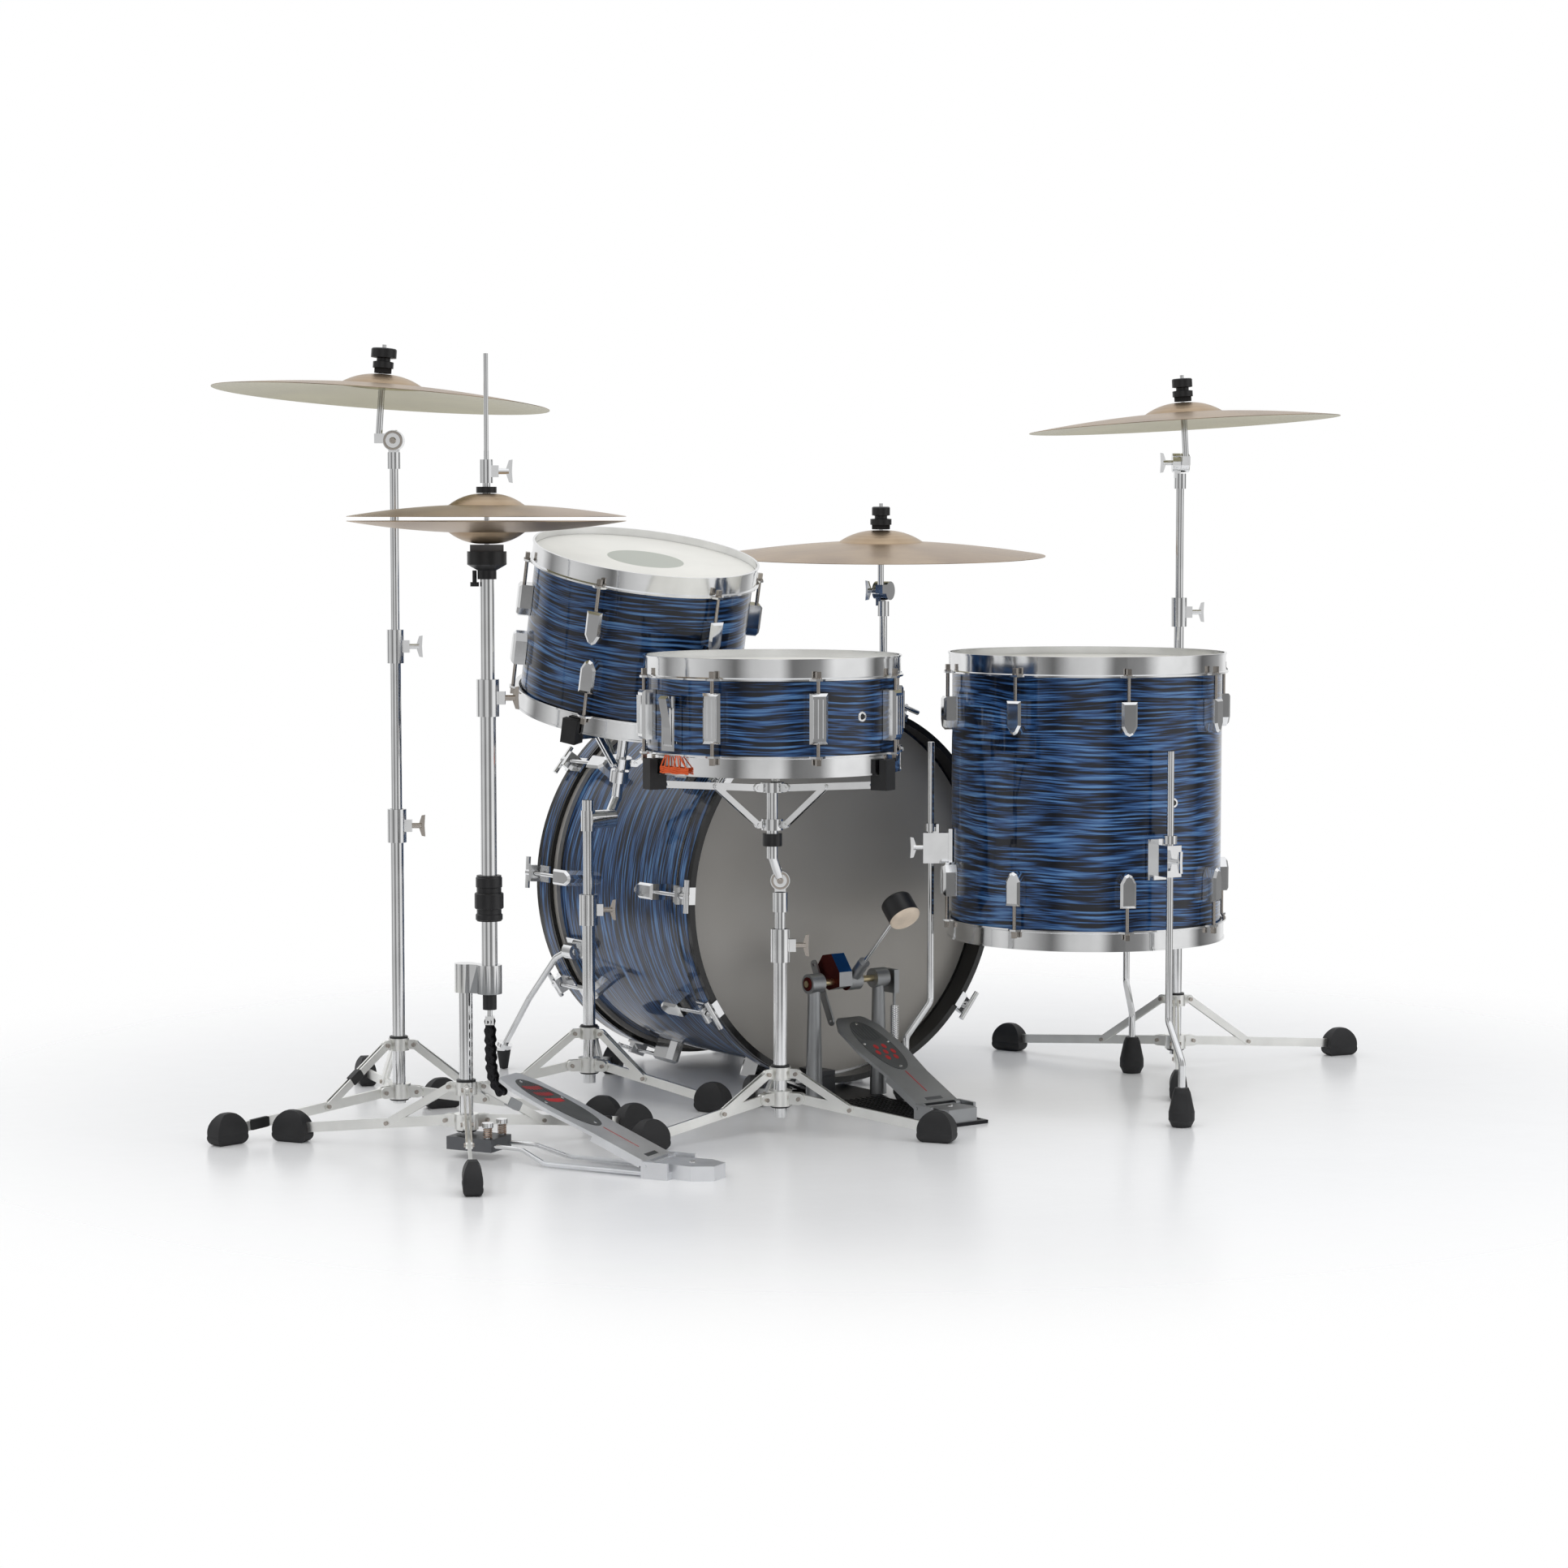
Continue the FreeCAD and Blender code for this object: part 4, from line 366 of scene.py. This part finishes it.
def dress_stands():
    """The stand bases, the masts, both baskets and the hi-hat's upper parts."""
    dress("stand_base_tubes", CHROME)
    dress("stand_castings", ZINC,
          (CAST, HAT_AXIS, lambda c, n: across(c) < 35 and 228 < c.z < 270),
          (NYLON, HAT_AXIS, lambda c, n: across(c) < 35 and 329 < c.z < 394),
          (CHROME, WORLD, lambda c, n: 246 < c.z < 298 or 407 < c.z < 458 or 611 < c.z < 664))
    dress("stand_legs", ZINC)
    dress("stand_braces", ZINC)
    dress("stand_fasteners", ROD_STEEL)
    dress("rubber_feet", RUBBER)
    dress("tom_mast", CHROME)
    dress("snare_mast", CHROME)
    dress("snare_basket", CHROME,
          (RUBBER, SNARE, lambda c, n: across(c) > 171.7),
          (NYLON, SNARE, lambda c, n: -122.5 < c.z < -103.5 and 10 < across(c) < 14.5))
    dress("tom_basket", CHROME, (RUBBER, TOM, lambda c, n: across(c) > 159.0))
    dress("hihat_upper_tube", CHROME,
          (NYLON, HAT_AXIS, lambda c, n: 799 < c.z < 838.5 and across(c) > 11.5),
          (FELT_GREY, HAT_AXIS, lambda c, n: c.z > 838.2 and across(c) > 10),
          (NYLON, HAT_AXIS, lambda c, n: 789 < c.z < 797 and across(c) > 10.9))
    dress("hihat_rod", CHROME,
          (FELT_BLACK, HAT_AXIS, lambda c, n: 902 < c.z < 914.5 and across(c) > 5.4),
          (NYLON, HAT_AXIS, lambda c, n: 917.2 < c.z < 926.5 and across(c) > 5.6))


def dress_pedals():
    """Both pedals."""
    dress("hihat_chain", BLACK_STEEL)
    dress("hihat_footboard", ALUMINIUM)
    dress("hihat_frame", ALUMINIUM,
          (CAST_DARK, COLUMN, lambda c, n: -17 < c.x < 57 and 11.9 < c.z < 30.1),
          (CHROME, COLUMN, lambda c, n: 38 < c.x < 56 and c.z > 30),
          (NYLON, COLUMN, lambda c, n: c.z > 200),
          (CHROME, COLUMN, lambda c, n: 56 < c.x < 300 and c.z < 23 and 13 < abs(c.y) < 29))
    dress("kick_base_plate", BLACK_STEEL)
    dress("kick_posts", CAST,
          (CHROME, WORLD, lambda c, n: 16 < c.x < 29 and 69 < c.z < 141 and c.y > -98),
          (CAST_DARK, WORLD, lambda c, n: c.y > -31 and c.z < 40))
    dress("kick_footboard", CAST)
    dress("kick_link", CAST)
    along = Vector((0, -math.sin(BEATER_LEAN), math.cos(BEATER_LEAN)))
    forward = Vector((0, math.cos(BEATER_LEAN), math.sin(BEATER_LEAN)))
    middle = AXLE + Vector((10, 0, 0)) + along * 168

    def out(point):
        """A point's distance from the axle's line."""
        return (point - AXLE).cross(Vector((1, 0, 0))).length

    dress("kick_beater", CAST,
          (CHROME, WORLD, lambda c, n: (c - AXLE).dot(along) > 44.2),
          (NYLON, WORLD, lambda c, n: (c - AXLE).dot(along) > 143 and abs((c - middle).dot(forward)) < 21
           and (c - middle).length > 10),
          (FELT_CREAM, WORLD, lambda c, n: (c - AXLE).dot(along) > 143
           and (c - middle).dot(forward) < -9 and (c - middle).length > 10),
          (BRASS, WORLD, lambda c, n: out(c) < 5.1 and c.x < 10),
          (BLUE_METAL, WORLD, lambda c, n: -86.5 < c.x < -61.5 and 198 < c.z < 232 and n.z > 0.3),
          (RED_METAL, WORLD, lambda c, n: -86.5 < c.x < -61.5 and c.z < 232 and n.x < -0.9 and out(c) > 5.2))


# ---------------------------------------------------------------- shapes

def joined(*shapes):
    """Several (points, faces) shapes as one."""
    points, faces = [], []
    for shape_points, shape_faces in shapes:
        start = len(points)
        points += shape_points
        faces += [[index + start for index in face] for face in shape_faces]
    return points, faces


def moved(shape, matrix):
    """A shape carried by a matrix whose lengths are millimetres."""
    return [matrix @ Vector(point) for point in shape[0]], shape[1]


def shift(x, y, z):
    """A move in millimetres."""
    return Matrix.Translation((x, y, z))


def lathe(profile, steps=64):
    """A closed (radius, height) profile turned round Z."""
    points = []
    for step in range(steps):
        angle = 2 * math.pi * step / steps
        points += [Vector((r * math.cos(angle), r * math.sin(angle), z)) for r, z in profile]
    count = len(profile)
    faces = []
    for step in range(steps):
        here, there = step * count, (step + 1) % steps * count
        for index in range(count):
            after = (index + 1) % count
            faces.append([here + index, there + index, there + after, here + after])
    return points, faces


def prism(outline, low, high):
    """An (x, y) outline between two heights."""
    count = len(outline)
    points = [Vector((x, y, low)) for x, y in outline] + [Vector((x, y, high)) for x, y in outline]
    faces = [list(range(count))[::-1], list(range(count, 2 * count))]
    faces += [[index, (index + 1) % count, count + (index + 1) % count, count + index]
              for index in range(count)]
    return points, faces


def oval(x, y, long, wide, steps=28, power=2.0):
    """An oval outline round x, y with half sizes long and wide."""
    outline = []
    for step in range(steps):
        angle = 2 * math.pi * step / steps
        c, s = math.cos(angle), math.sin(angle)
        outline.append((x + long * math.copysign(abs(c) ** (2 / power), c),
                        y + wide * math.copysign(abs(s) ** (2 / power), s)))
    return outline


def sweep(path, radius, sides=10):
    """A round wire along a path, with flat ends."""
    path = [Vector(point) for point in path]
    points, faces = [], []
    side = None
    for index, centre in enumerate(path):
        before, after = path[max(index - 1, 0)], path[min(index + 1, len(path) - 1)]
        tangent = (after - before).normalized()
        if side is None:
            side = tangent.orthogonal().normalized()
        side = (side - tangent * side.dot(tangent)).normalized()
        other = tangent.cross(side)
        for step in range(sides):
            angle = 2 * math.pi * step / sides
            points.append(centre + side * (radius * math.cos(angle)) + other * (radius * math.sin(angle)))
    for index in range(len(path) - 1):
        for step in range(sides):
            after = (step + 1) % sides
            faces.append([index * sides + step, index * sides + after,
                          (index + 1) * sides + after, (index + 1) * sides + step])
    last = (len(path) - 1) * sides
    faces += [list(range(sides))[::-1], list(range(last, last + sides))]
    return points, faces


def helix(low, high, radius, wire, turns):
    """A coil round Z."""
    steps = int(turns * 14)
    path = []
    for step in range(steps + 1):
        angle = 2 * math.pi * turns * step / steps
        path.append((radius * math.cos(angle), radius * math.sin(angle), low + (high - low) * step / steps))
    return sweep(path, wire, 7)


def piece(name, shape, local, material, body, bevel=0.0):
    """A detail piece, built in a local frame, that rides on a body."""
    points, faces = shape
    mesh = bpy.data.meshes.new(name)
    mesh.from_pydata([local @ (Vector(point) * MM) for point in points], [], faces)
    mesh.validate()
    mesh.materials.append(material)
    mesh.polygons.foreach_set("use_smooth", [True] * len(mesh.polygons))
    mesh.set_sharp_from_angle(angle=math.radians(38))
    obj = bpy.data.objects.new(name, mesh)
    scene.collection.objects.link(obj)
    if bevel:
        edge = obj.modifiers.new("edge", "BEVEL")
        edge.width = bevel * MM
        edge.segments = 2
        edge.limit_method = "ANGLE"
    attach(obj, body)
    return obj


# ---------------------------------------------------------------- drum details

def band(inner, outer, low, high, steps=160):
    """A flat ring with slightly rounded corners."""
    corner = min(outer - inner, high - low) * 0.25
    return lathe([(inner, low), (outer - corner, low), (outer, low + corner), (outer, high - corner),
                  (outer - corner, high), (inner, high)], steps)


def bass_details():
    """The wrap inlaid in both hoops, and the flesh hoop's bright ring at each head."""
    for name, low in (("batter", -28.0), ("resonant", 359.5)):
        piece("bass_inlay_" + name, band(292.7, 293.5, low, low + 23.5), BASS, WRAP_BASS, "kit_base")
    for name, low in (("batter", 1.3), ("resonant", 346.6)):
        piece("bass_flesh_hoop_" + name, band(279.6, 285.0, low, low + 7.5), BASS, CHROME, "kit_base")


def grommet(name, local, turn, radius, height, body):
    """A metal vent eyelet on a shell, with a black disc in its hole as painted shade for the drum's dark
    inside.
    """
    outward = Matrix.Rotation(math.radians(turn), 4, "Z") @ shift(0, -radius, height)
    outward = outward @ Matrix.Rotation(math.radians(90), 4, "X")
    eyelet = lathe([(4.2, -1), (4.2, 0.9), (5.0, 1.5), (6.6, 1.4), (7.6, 0.4), (7.8, -0.6)], 40)
    piece(name, moved(eyelet, outward), local, CHROME, body)
    # painted shade: a black disc stands for the shaded inside of the drum seen through the hole
    painted_hole_shade = lathe([(0.01, 0.15), (4.3, 0.15), (4.3, 0.45), (0.01, 0.45)], 32)
    piece(name + "_bore", moved(painted_hole_shade, outward), local, NYLON, body)


def vents():
    """The vent eyelet on each of the three upper drums."""
    grommet("snare_vent", SNARE, 8.5, 178.6, 70, "snare_drum")
    grommet("tom_vent", TOM, 150, 165.9, 114, "tom_drum")
    grommet("floor_tom_vent", FLOOR_TOM, -2, 204, 203.2, "floor_tom_drum")


# ---------------------------------------------------------------- hi-hat details

def chain_plate(pitch):
    """One side plate of a roller chain link: two round ends and a waist, in X and Z."""
    outline = []
    for step in range(9):
        angle = math.pi / 2 + math.pi * step / 8
        outline.append((6.0 * math.cos(angle), 6.0 * math.sin(angle)))
    outline.append((pitch / 2, -4.1))
    for step in range(9):
        angle = -math.pi / 2 + math.pi * step / 8
        outline.append((pitch + 6.0 * math.cos(angle), 6.0 * math.sin(angle)))
    outline.append((pitch / 2, 4.1))
    return outline


def chain_stations(pitch):
    """The places of the chain's pins, a pitch apart along its path."""
    path = [Vector((39, 0, 190)), Vector((41, 0, 128)), Vector((45, 0, 108)), Vector((55, 0, 94)),
            Vector((68, 0, 89))]
    stations = []
    left = 0.0
    for start, end in zip(path, path[1:]):
        length = (end - start).length
        while left <= length:
            stations.append(start + (end - start) * (left / length))
            left += pitch
        left -= length
    return stations


def chain():
    """The roller chain from the pull rod's fork down and under the toe."""
    stations = chain_stations(12.7)
    shapes = []
    for index, (start, end) in enumerate(zip(stations, stations[1:])):
        run = end - start
        turn = Matrix.Rotation(math.atan2(-run.z, run.x), 4, "Y")
        stand = shift(*start) @ turn @ Matrix.Rotation(math.radians(90), 4, "X")
        reach = 5.6 if index % 2 else 4.2
        for low in (-reach - 1.3, reach):
            shapes.append(moved(prism(chain_plate(run.length), low, low + 1.3), stand))
    for centre in stations:
        pin = lathe([(0.01, -7.7), (2.2, -7.7), (2.5, -7.2), (2.5, 7.2), (2.2, 7.7), (0.01, 7.7)], 14)
        roller = lathe([(2.6, -4.0), (4.2, -4.0), (4.2, 4.0), (2.6, 4.0)], 16)
        stand = shift(*centre) @ Matrix.Rotation(math.radians(90), 4, "X")
        shapes += [moved(pin, stand), moved(roller, stand)]
    obj = piece("roller_chain", joined(*shapes), COLUMN, BLACK_STEEL, "hihat_pull")
    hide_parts("hihat_chain")


def hihat_springs():
    """The two coils between the foot casting's screws and its block."""
    for side, name in ((-1, "right"), (1, "left")):
        coil = moved(helix(30.6, 45.6, 5.6, 0.9, 5.5), shift(46, side * 19, 0))
        piece("hihat_frame_spring_" + name, coil, COLUMN, COPPER, "kit_base")


def column_slot_shades():
    """The row of slots up the hi-hat's column, drawn as black ovals: painted shade for the dark inside of
    the tube seen through each slot.
    """
    slot_shades = []
    for index in range(10):
        stand = Matrix.Rotation(math.radians(33), 4, "Z") @ shift(0, 0, 88 + index * 13.5)
        stand = stand @ Matrix.Rotation(math.radians(90), 4, "Y")
        # painted shade: a thin black oval on the tube where a slot opens onto its shaded inside
        slot_shades.append(moved(prism(oval(0, 0, 3.6, 1.0, 16), 9.45, 9.75), stand))
    piece("hihat_column_slots", joined(*slot_shades), place(-765.9, -139.9, 0, 270), NYLON, "kit_base")


def collar_steps():
    """The stepped black collar above the hi-hat's foot casting."""
    rings = []
    for low, tall, radius in ((331, 9, 18.6), (347, 22, 20.0), (376, 15, 18.2)):
        high = low + tall
        rings.append(lathe([(16.9, low), (radius - 1.2, low), (radius, low + 1.2), (radius, high - 1.2),
                            (radius - 1.2, high), (16.9, high)], 48))
    piece("hihat_collar_steps", joined(*rings), HAT_AXIS, NYLON, "kit_base")


# ---------------------------------------------------------------- stand details

STANDS = {  # x, y, height of the hub's centre, height of the collar's centre
    "crash_left": (-686.7, 185.2, 40.0, 109.5),
    "hihat": (-765.9, -139.9, 48.0, 95.0),
    "tom": (-359.7, 174.9, 50.0, 99.0),
    "snare": (-304.2, -245.6, 50.0, 86.0),
    "crash_right": (560.4, -136.3, 42.0, 109.0),
}


def stand_bushings():
    """The black plastic rings over each sliding collar and under each hub."""
    rings = []
    for x, y, hub, collar in STANDS.values():
        over = lathe([(9.7, 9), (13.6, 9), (13.6, 11.4), (12.8, 12), (9.7, 12)], 40)
        under = lathe([(9.7, -14), (13.0, -14), (14.2, -13), (14.2, -11), (9.7, -11)], 40)
        rings.append(moved(over, shift(x, y, collar)))
        rings.append(moved(under, shift(x, y, hub)))
    piece("stand_bushings", joined(*rings), WORLD, NYLON, "kit_base")


def strap_sleeve(start, end, share, length, height, width):
    """A block with rounded ends round a strap, at a share of its (reach, height) run."""
    first, last = Vector((start[0], 0, start[1])), Vector((end[0], 0, end[1]))
    run = last - first
    lean = Matrix.Rotation(-math.atan2(run.z, run.x), 4, "Y") @ Matrix.Rotation(math.radians(90), 4, "X")
    block = prism(oval(0, 0, length / 2, height / 2, 36, 9.0), -width / 2, width / 2)
    return moved(block, Matrix.Translation(first.lerp(last, share)) @ lean)


def leg_sleeves():
    """The bumper clipped on one brace of two stands, and the sleeve on the leg below it."""
    for name, turn, reach, brace_reach, material in (
            ("crash_left", 189.8, 313.0, 135.0, NYLON),
            ("hihat", 0.7, 280.0, 125.0, CAST)):
        x, y, hub, collar = STANDS[name]
        knuckle = 21 + (hub - 21) * (reach - 20 - brace_reach) / (reach - 50)
        spot = place(x, y, 0, turn)
        bumper = strap_sleeve((25, collar), (brace_reach, knuckle), 0.52, 22, 13.5, 11)
        piece(name + "_brace_bumper", bumper, spot, material, "kit_base", 0.5)
        sleeve = strap_sleeve((reach - 20, 21), (30, hub), 35 / (reach - 50), 34, 15.2, 5.6)
        piece(name + "_leg_sleeve", sleeve, spot, RUBBER, "kit_base", 0.5)


def ratchet_faces():
    """The turned ring and the pivot's head on the outer face of three ratchets."""
    for name, height, turn, radius, body in (
            ("crash_left", 995, -36, 15.0, "crash_left_head"),
            ("crash_right", 969, 54, 15.0, "crash_right_head"),
            ("snare", 365.5, -36, 14.0, "snare_drum")):
        x, y = STANDS[name][:2]
        ring = lathe([(radius - 4.4, 12.9), (radius - 1.0, 12.9), (radius - 1.5, 13.9),
                      (radius - 3.9, 13.9)], 48)
        head = lathe([(0.01, 12.9), (4.8, 12.9), (4.8, 14.8), (3.8, 15.6), (2.0, 15.6), (2.0, 14.6),
                      (0.01, 14.6)], 32)
        face = place(x, y, height, turn) @ Matrix.Rotation(math.radians(90), 4, "X")
        piece(name + "_ratchet_face", joined(ring, head), face, ROD_STEEL, body)


# ---------------------------------------------------------------- pedal boards

def board_details(name, local, length, body):
    """The oval tread on a footboard, with its raised ribs, screws and painted line."""
    middle, half, wide = length * 0.665, length * 0.275, 26.0
    piece(name + "_tread", prism(oval(middle, 0, half, wide, 48, 2.2), 3.9, 4.7), local, PAD_GREY, body,
          0.2)
    ribs = []
    for index in range(-3, 4):
        reach = half * (0.34 - 0.03 * abs(index))
        ribs.append(prism(oval(middle + half * 0.52, index * 5.4, reach, 0.8, 16), 4.6, 5.2))
    piece(name + "_tread_ribs", joined(*ribs), local, CAST_DARK, body)
    screws = []
    for x, y in ((middle + half * 0.9, 0), (middle - half * 0.88, 0), (middle + half * 0.1, 22),
                 (middle + half * 0.1, -22)):
        screws.append(moved(lathe([(0.01, 0), (2.6, 0), (2.4, 0.7), (0.01, 1.0)], 18), shift(x, y, 4.6)))
    piece(name + "_tread_screws", joined(*screws), local, CHROME, body)
    line = prism([(length * 0.14, -0.9), (length * 0.37, -0.9), (length * 0.37, 0.9), (length * 0.14, 0.9)],
                 3.9, 4.25)
    piece(name + "_centre_line", line, local, RED_PAINT, body)


def heel_details():
    """The slot and the screw on each pedal's heel plate; the slot is a dark grey strip, painted shade for
    its shaded inside.
    """
    for name, local, top, back in (("hihat", place(-625.1, -410.4, 0, 117.5), 20.0, 50.0),
                                   ("kick", place(-60, -306, 0, 90), 25.0, 26.0)):
        screw = lathe([(0.01, 0), (4.4, 0), (4.2, 1.1), (3.0, 1.7), (0.01, 1.9)], 28)
        piece(name + "_heel_screw", moved(screw, shift(-back, 0, top)), local, CHROME, "kit_base")
    for name, local in (("hihat", HAT_BOARD), ("kick", KICK_BOARD)):
        # painted shade: a dark grey strip stands for the shade inside the slot
        mark = prism([(12, -15), (19, -15), (19, 15), (12, 15)], 3.9, 4.3)
        piece(name + "_board_slot_shade", mark, local, CAST_DARK, name + "_pedal_board")


def hihat_board_marks():
    """Three slanted red marks on the tread."""
    marks = []
    middle = HAT_LENGTH * 0.665
    for index in range(3):
        x = middle + 4 + index * 19
        marks.append(prism([(x - 6, -15), (x + 3, -15), (x + 6, -2), (x + 12, 14), (x + 3, 14), (x - 4, 1)],
                           4.6, 4.95))
    piece("hihat_tread_marks", joined(*marks), HAT_BOARD, RED_PAINT, "hihat_pedal_board")


def kick_board_marks():
    """Seven red dots on the tread."""
    marks = []
    middle = KICK_LENGTH * 0.665
    for x, rows in ((-34, (-9, 6)), (-19, (-14, 0, 14)), (-4, (-7, 8))):
        for y in rows:
            marks.append(prism(oval(middle + x, y, 6.0, 3.6, 22), 4.6, 5.0))
    piece("kick_tread_dots", joined(*marks), KICK_BOARD, RED_PAINT, "kick_pedal_board")


def kick_details():
    """The spring's coil, the base plate's ribs and the ring round one bearing."""
    coil = moved(helix(83, 139, 6.2, 1.0, 17), shift(23, -91, 0))
    piece("kick_spring", coil, WORLD, CHROME, "kit_base")
    ribs = []
    for index in range(9):
        x = -100 + index * 10
        ribs.append(prism([(x - 1.5, -352), (x + 1.5, -352), (x + 1.5, -104), (x - 1.5, -104)], 4.9, 6.1))
    piece("kick_plate_ribs", joined(*ribs), WORLD, BLACK_STEEL, "kit_base", 0.3)
    ring = moved(lathe([(5.3, 0), (10.5, 0), (10.5, 1.0), (9.8, 1.4), (5.3, 1.4)], 36),
                 shift(-133.1, AXLE.y, AXLE.z) @ Matrix.Rotation(math.radians(-90), 4, "Y"))
    piece("kick_bearing_ring", ring, WORLD, RED_METAL, "kit_base")


def on_ring(radius, degrees, height):
    """A point round the Z axis."""
    angle = math.radians(degrees)
    return Vector((radius * math.cos(angle), radius * math.sin(angle), height))


def snare_cord():
    """The cords that draw the snare wires up to the strainer: a bundle along the gate and two fans."""
    shapes = []
    for index in range(4):
        path = []
        for step in range(9):
            wave = 0.6 * math.sin(step * 1.7 + index)
            path.append(on_ring(188.6 + 0.4 * (index % 2), 178.5 + step * 2.2, -1.2 - index * 2.3 + wave))
        shapes.append(sweep(path, 1.2, 8))
    for start, end in ((181.5, 179.0), (182.5, 182.0), (183.5, 185.0), (188.5, 188.0), (189.5, 191.5),
                       (190.5, 195.5)):
        middle = (start + end) / 2
        path = [on_ring(186.5, start, 16.0), on_ring(188.5, middle, 7.5), on_ring(189.6, end, -1.2)]
        shapes.append(sweep(path, 1.0, 8))
    piece("snare_cords", joined(*shapes), SNARE, CORD_ORANGE, "snare_drum")


# ---------------------------------------------------------------- stage

def floor_material():
    material, tree, surface = shader("floor", (0.95, 0.952, 0.956), 0.22)
    surface.inputs["Specular IOR Level"].default_value = 0.35
    vector = coordinates(tree)
    tree.links.new(spread(tree, noise(tree, vector, 3.0, 3.0), 0.16, 0.30), surface.inputs["Roughness"])
    bump(tree, surface, noise(tree, vector, 26.0, 3.0), 0.10, 0.0015)
    clear = tree.nodes.new("ShaderNodeBsdfTransparent")
    mix = tree.nodes.new("ShaderNodeMixShader")
    fade = tree.nodes.new("ShaderNodeMapRange")
    fade.interpolation_type = "SMOOTHSTEP"
    fade.inputs["From Min"].default_value = 0.95
    fade.inputs["From Max"].default_value = 1.75
    tree.links.new(radius_of(tree, vector), fade.inputs["Value"])
    tree.links.new(fade.outputs["Result"], mix.inputs["Fac"])
    tree.links.new(surface.outputs["BSDF"], mix.inputs[1])
    tree.links.new(clear.outputs["BSDF"], mix.inputs[2])
    tree.links.new(mix.outputs["Shader"], tree.nodes["Material Output"].inputs["Surface"])
    return material


def floor():
    """A wide round floor."""
    mesh = bpy.data.meshes.new("floor")
    mesh.from_pydata([(x, y, 0) for x, y in oval(0, 0, 6, 6, 96)], [], [list(range(96))])
    mesh.materials.append(floor_material())
    obj = bpy.data.objects.new("floor", mesh)
    scene.collection.objects.link(obj)


def studio():
    """White to the camera, and a ring of soft boxes with dark gaps to everything else."""
    world = bpy.data.worlds.new("studio")
    scene.world = world
    world.use_nodes = True
    tree = world.node_tree
    direction = tree.nodes.new("ShaderNodeTexCoord").outputs["Generated"]
    parts = tree.nodes.new("ShaderNodeSeparateXYZ")
    tree.links.new(direction, parts.inputs["Vector"])
    angle = sums(tree, "ARCTAN2", parts.outputs["Y"], parts.outputs["X"])
    share = sums(tree, "ADD", sums(tree, "DIVIDE", angle, 2 * math.pi), 0.5)
    levels = [(0.00, 0.50), (0.06, 0.14), (0.10, 0.58), (0.17, 0.72), (0.20, 0.16), (0.27, 0.28),
              (0.31, 0.90), (0.40, 0.85), (0.44, 0.12), (0.52, 0.40), (0.57, 0.88), (0.80, 0.88),
              (0.85, 0.22), (0.93, 0.72), (1.00, 0.50)]
    ring = ramp(tree, share, [(position, (level, level, level)) for position, level in levels])
    rise = tree.nodes.new("ShaderNodeMapRange")
    rise.interpolation_type = "SMOOTHSTEP"
    rise.inputs["From Min"].default_value = 0.35
    rise.inputs["From Max"].default_value = 0.75
    tree.links.new(parts.outputs["Z"], rise.inputs["Value"])
    mix = tree.nodes.new("ShaderNodeMix")
    mix.data_type = "RGBA"
    tree.links.new(rise.outputs["Result"], mix.inputs["Factor"])
    tree.links.new(ring, mix.inputs["A"])
    mix.inputs["B"].default_value = (1.05, 1.06, 1.08, 1)
    seen = tree.nodes.new("ShaderNodeMix")
    seen.data_type = "RGBA"
    path = tree.nodes.new("ShaderNodeLightPath")
    tree.links.new(path.outputs["Is Camera Ray"], seen.inputs["Factor"])
    tree.links.new(mix.outputs["Result"], seen.inputs["A"])
    seen.inputs["B"].default_value = (1, 1, 1, 1)
    tree.links.new(seen.outputs["Result"], tree.nodes["Background"].inputs["Color"])


def soft_light(name, position, target, size, power):
    """A rectangular light that faces a point."""
    data = bpy.data.lights.new(name, "AREA")
    data.shape = "RECTANGLE"
    data.size, data.size_y = size
    data.energy = power
    obj = bpy.data.objects.new(name, data)
    obj.location = position
    obj.rotation_euler = (Vector(position) - Vector(target)).to_track_quat("Z", "Y").to_euler()
    obj.visible_glossy = False
    scene.collection.objects.link(obj)


def lights():
    """Three large soft lights, which the metals don't mirror."""
    soft_light("overhead", (-0.3, -0.4, 3.4), (0, 0, 0), (3.2, 2.4), 16)
    soft_light("key_left", (-3.6, -2.2, 2.2), (0, 0, 0.5), (1.6, 2.2), 14)
    soft_light("fill_right", (1.8, -3.6, 1.8), (0, 0, 0.5), (1.4, 2.0), 7)


def camera():
    """A long lens from the drummer's left, at the height of the drums."""
    data = bpy.data.cameras.new("camera")
    data.lens = 81.28
    data.sensor_width = 36
    data.clip_end = 100
    obj = bpy.data.objects.new("camera", data)
    obj.location = (-3.2696, -4.3364, 0.8947)
    obj.rotation_euler = Euler((math.radians(90 - 4.43), 0, math.radians(-36)))
    scene.collection.objects.link(obj)
    scene.camera = obj


dress_drums()
dress_cymbals()
dress_stands()
dress_pedals()
bass_details()
vents()
snare_cord()
chain()
hihat_springs()
column_slot_shades()
collar_steps()
stand_bushings()
leg_sleeves()
ratchet_faces()
heel_details()
board_details("hihat", HAT_BOARD, HAT_LENGTH, "hihat_pedal_board")
board_details("kick", KICK_BOARD, KICK_LENGTH, "kick_pedal_board")
hihat_board_marks()
kick_board_marks()
kick_details()
floor()
studio()
lights()
camera()
scene.view_settings.view_transform = "Standard"

bpy.context.view_layer.update()
